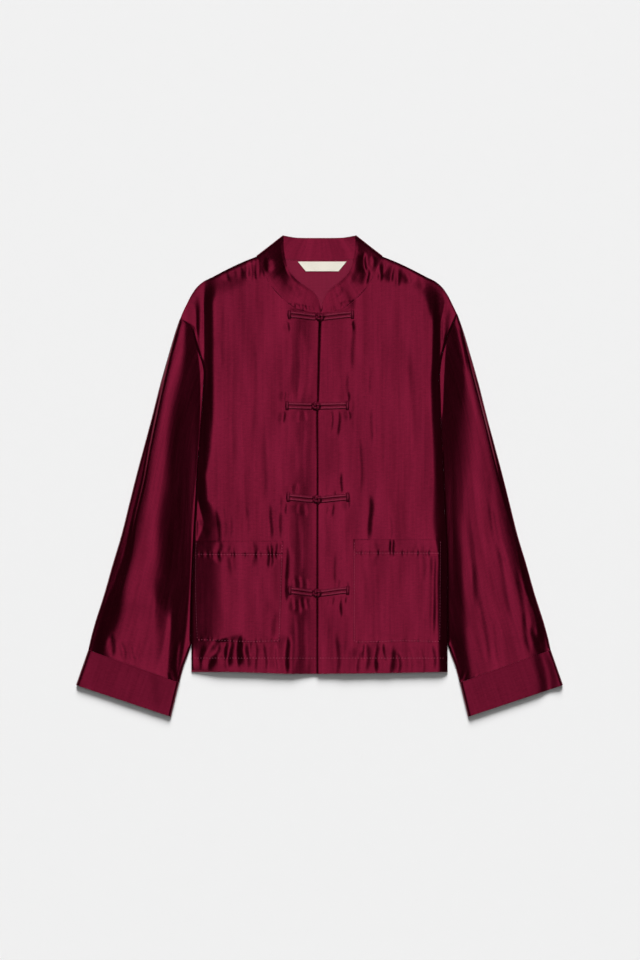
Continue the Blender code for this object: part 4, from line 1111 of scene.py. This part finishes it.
for number, frog in enumerate(frogs["places"], start=1):
    y0, knotX, leftEnd, rightEnd = frog[:4]
    start, end = knotX - frogs["knotReach"], leftEnd + frogs["cordRadius"]
    run = [lerp(start, end, t) for t in (0.0, 0.2, 0.4, 0.6, 0.8, 0.95)]
    beside, inside = frogs["turnIn"]
    half = frogs["apart"] * frogs["turnShare"]
    turn = [(end - beside, half), (end - inside, 0.0), (end - beside, -half)]
    left = [(x, frogs["apart"]) for x in run] + turn + [(x, -frogs["apart"]) for x in reversed(run)]
    cord = cordTube(liftPath(frog, left), frogs["cordRadius"], flat=frogs["flat"])
    bm = joinMeshes(cord, endBar(frog, end - frogs["barIn"][-1]))
    made = finishPiece(bm, f"cord_frog_{number}_left", satinCord)
    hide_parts(f"frog_{number}_left")
    start, end = knotX + frogs["loopRadius"] + frogs["loopNeck"], rightEnd - frogs["endIn"]
    run = [lerp(end, start, t) for t in (0.1, 0.4, 0.7, 1.0)]
    loop = [(knotX + frogs["loopRadius"] * math.cos(a), frogs["loopRadius"] * math.sin(a))
            for a in np.radians(np.linspace(55, 305, 9))]
    wide = frogs["apart"] + frogs["flare"]
    right = [(end, wide)] + [(x, frogs["apart"]) for x in run] + loop
    right += [(x, -frogs["apart"]) for x in reversed(run)] + [(end, -wide)]
    cord = cordTube(liftPath(frog, right), frogs["cordRadius"], flat=frogs["flat"])
    bm = joinMeshes(cord, endBar(frog, end - frogs["barIn"][1]))
    made = finishPiece(bm, f"cord_frog_{number}_right", satinCord)
    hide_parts(f"frog_{number}_right")
    middle = clothTop(knotX, y0) + 2 * frogs["cordRadius"] * frogs["flat"] + frogs["knot"]["lift"]
    made = buildKnot(f"cord_frog_{number}_knot", frog, middle)
    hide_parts(f"frog_{number}_knot")
print("frogs made")

# Stitching
stitch = {
    "length": 2.4,
    "pitch": 4.4,
    "radius": 0.27,
    "flat": 0.7,
    "lift": 0.05,
    "inset": 0.012,           # from a pocket's edge, as a share of it
    "mouthEnd": 0.985,
    "hemInset": 0.02,
    "pocketHeight": 153.0,
    "hemUp": 21.0,
    # distance from the centre line where the hem's row begins and ends, right and left
    "hemFrom": {1: -1.0, -1: 5.0},
    "hemTo": 190.0,
    "points": 90,
}


def stitchRow(bm, points):
    # short threads laid along a line of (x, y, z)
    points = np.asarray(points, float)
    run = runLengths(points)
    count = int(run[-1] / stitch["pitch"])
    at = (np.arange(count) + 0.5) * stitch["pitch"]
    spots = np.stack([np.interp(at, run, points[:, k]) for k in range(3)], 1)
    ahead = np.stack([np.interp(at + 1.0, run, points[:, k]) for k in range(3)], 1) - spots
    for spot, step in zip(spots, ahead):
        turn = Vector(step).to_track_quat("X", "Z").to_matrix().to_4x4()
        thick = stitch["radius"] * stitch["flat"]
        size = Matrix.Diagonal((stitch["length"] / 2, stitch["radius"], thick, 1.0))
        place = Matrix.Translation(Vector(spot) * mm + shift) @ turn @ size @ Matrix.Scale(mm, 4)
        bmesh.ops.create_icosphere(bm, subdivisions=1, radius=1.0, matrix=place)


def pocketLine(side, u, v):
    # points on the pocket's face at shares across and up
    x, y, us, vs = pocketPlaces(side)
    z = pocketHeight(side, x, y, us, vs)
    rows, columns = x.shape
    i, j = np.asarray(v) * (rows - 1), np.asarray(u) * (columns - 1)
    i0, j0 = np.clip(i.astype(int), 0, rows - 2), np.clip(j.astype(int), 0, columns - 2)
    a, b = i - i0, j - j0
    found = []
    for grid in (x, y, z):
        found.append((1 - a) * ((1 - b) * grid[i0, j0] + b * grid[i0, j0 + 1])
                     + a * ((1 - b) * grid[i0 + 1, j0] + b * grid[i0 + 1, j0 + 1]))
    return np.stack(found, 1)


def buildStitches():
    bm = bmesh.new()
    count, near, high = stitch["points"], stitch["inset"], stitch["mouthEnd"]
    lane, far = np.linspace(0.0, 1.0, count), 1 - near
    hem = 1 - pockets["hemDepth"] / stitch["pocketHeight"]
    first = stitch["hemInset"]
    # ends of each row on a pocket, across and up: hem, outer edge, bottom, inner edge
    rows = [(first, hem, 1 - first, hem), (far, high, far, near), (far, near, near, near),
            (near, near, near, high)]
    for side in (-1, 1):
        for u1, v1, u2, v2 in rows:
            stitchRow(bm, pocketLine(side, lerp(u1, u2, lane), lerp(v1, v2, lane)))
        x = side * np.linspace(stitch["hemFrom"][side], stitch["hemTo"], count)
        y = np.full(count, body["hemY"] + stitch["hemUp"])
        stitchRow(bm, np.stack([x, y, bodyHeight(side, x, y) + stitch["lift"]], 1))
    finishPiece(bm, "thread_stitches", thread)


buildStitches()
print("stitching made")

# Floor, light and camera
studio = {
    "lens": 300.0,
    "cameraHeight": 12.0,
    "aimX": 0.75,
    "aimY": -6.0,
    "floor": 0.80,
    "boxes": [  # x, y, z, wide, deep, watts
        (0.16, 1.8, 8.4, 2.4, 10.0, 75.0),
        (0.16, 1.8, 8.6, 4.4, 10.8, 77.0)],
    "sun": 5.75,
    "sunHeight": 29.0,
    "sunSize": 28.0,
    "sensor": 36.0,
    "floorHalf": 6.0,         # in metres, as are the next value and the places above
    "floorZ": -0.0003,
    "world": 0.05,
}


def floorMaterial():
    made, nodes, links, shader = newMaterial("paleFloor")
    spot = nodes.new("ShaderNodeTexCoord")
    grain = noiseOn(nodes, links, spot.outputs["Object"], (40, 40, 40), 3.0)
    low, high = studio["floor"] - 0.004, studio["floor"] + 0.004
    colourBy(nodes, links, grain, shader, (low, low, low), (high, high, high))
    shader.inputs["Roughness"].default_value = 0.9
    shader.inputs["Specular IOR Level"].default_value = 0.1
    return made


def buildStudio():
    bm = bmesh.new()
    bmesh.ops.create_grid(bm, x_segments=1, y_segments=1, size=studio["floorHalf"])
    mesh = bpy.data.meshes.new("floor")
    bm.to_mesh(mesh)
    bm.free()
    mesh.materials.append(floorMaterial())
    floor = bpy.data.objects.new("floor", mesh)
    for corner in mesh.vertices:
        corner.co.z = studio["floorZ"]
    bpy.context.scene.collection.objects.link(floor)
    for number, (x, y, z, wide, deep, watts) in enumerate(studio["boxes"], start=1):
        data = bpy.data.lights.new(f"softbox_{number}", "AREA")
        data.shape, data.size, data.size_y, data.energy = "RECTANGLE", wide, deep, watts
        lamp = bpy.data.objects.new(f"softbox_{number}", data)
        lamp.location = (x, y, z)
        lamp.visible_camera = False
        bpy.context.scene.collection.objects.link(lamp)
    data = bpy.data.lights.new("windowLight", "SUN")
    data.energy, data.angle = studio["sun"], math.radians(studio["sunSize"])
    lamp = bpy.data.objects.new("windowLight", data)
    lamp.rotation_euler = (-math.radians(90.0 - studio["sunHeight"]), 0.0, 0.0)
    lamp.visible_glossy = False     # it lights the floor and the hems; the satin mirrors the two boxes
    bpy.context.scene.collection.objects.link(lamp)
    world = bpy.data.worlds.new("studioAir")
    world.use_nodes = True
    world.node_tree.nodes["Background"].inputs["Color"].default_value = (1.0, 1.0, 1.0, 1.0)
    world.node_tree.nodes["Background"].inputs["Strength"].default_value = studio["world"]
    bpy.context.scene.world = world
    view = bpy.data.cameras.new("camera")
    view.lens, view.sensor_width = studio["lens"], studio["sensor"]
    view.clip_start, view.clip_end = 0.1, 50.0
    camera = bpy.data.objects.new("camera", view)
    camera.location = (studio["aimX"] * mm, studio["aimY"] * mm, studio["cameraHeight"])
    bpy.context.scene.collection.objects.link(camera)
    bpy.context.scene.camera = camera
    bpy.context.scene.view_settings.view_transform = "Standard"


buildStudio()
print("studio made")
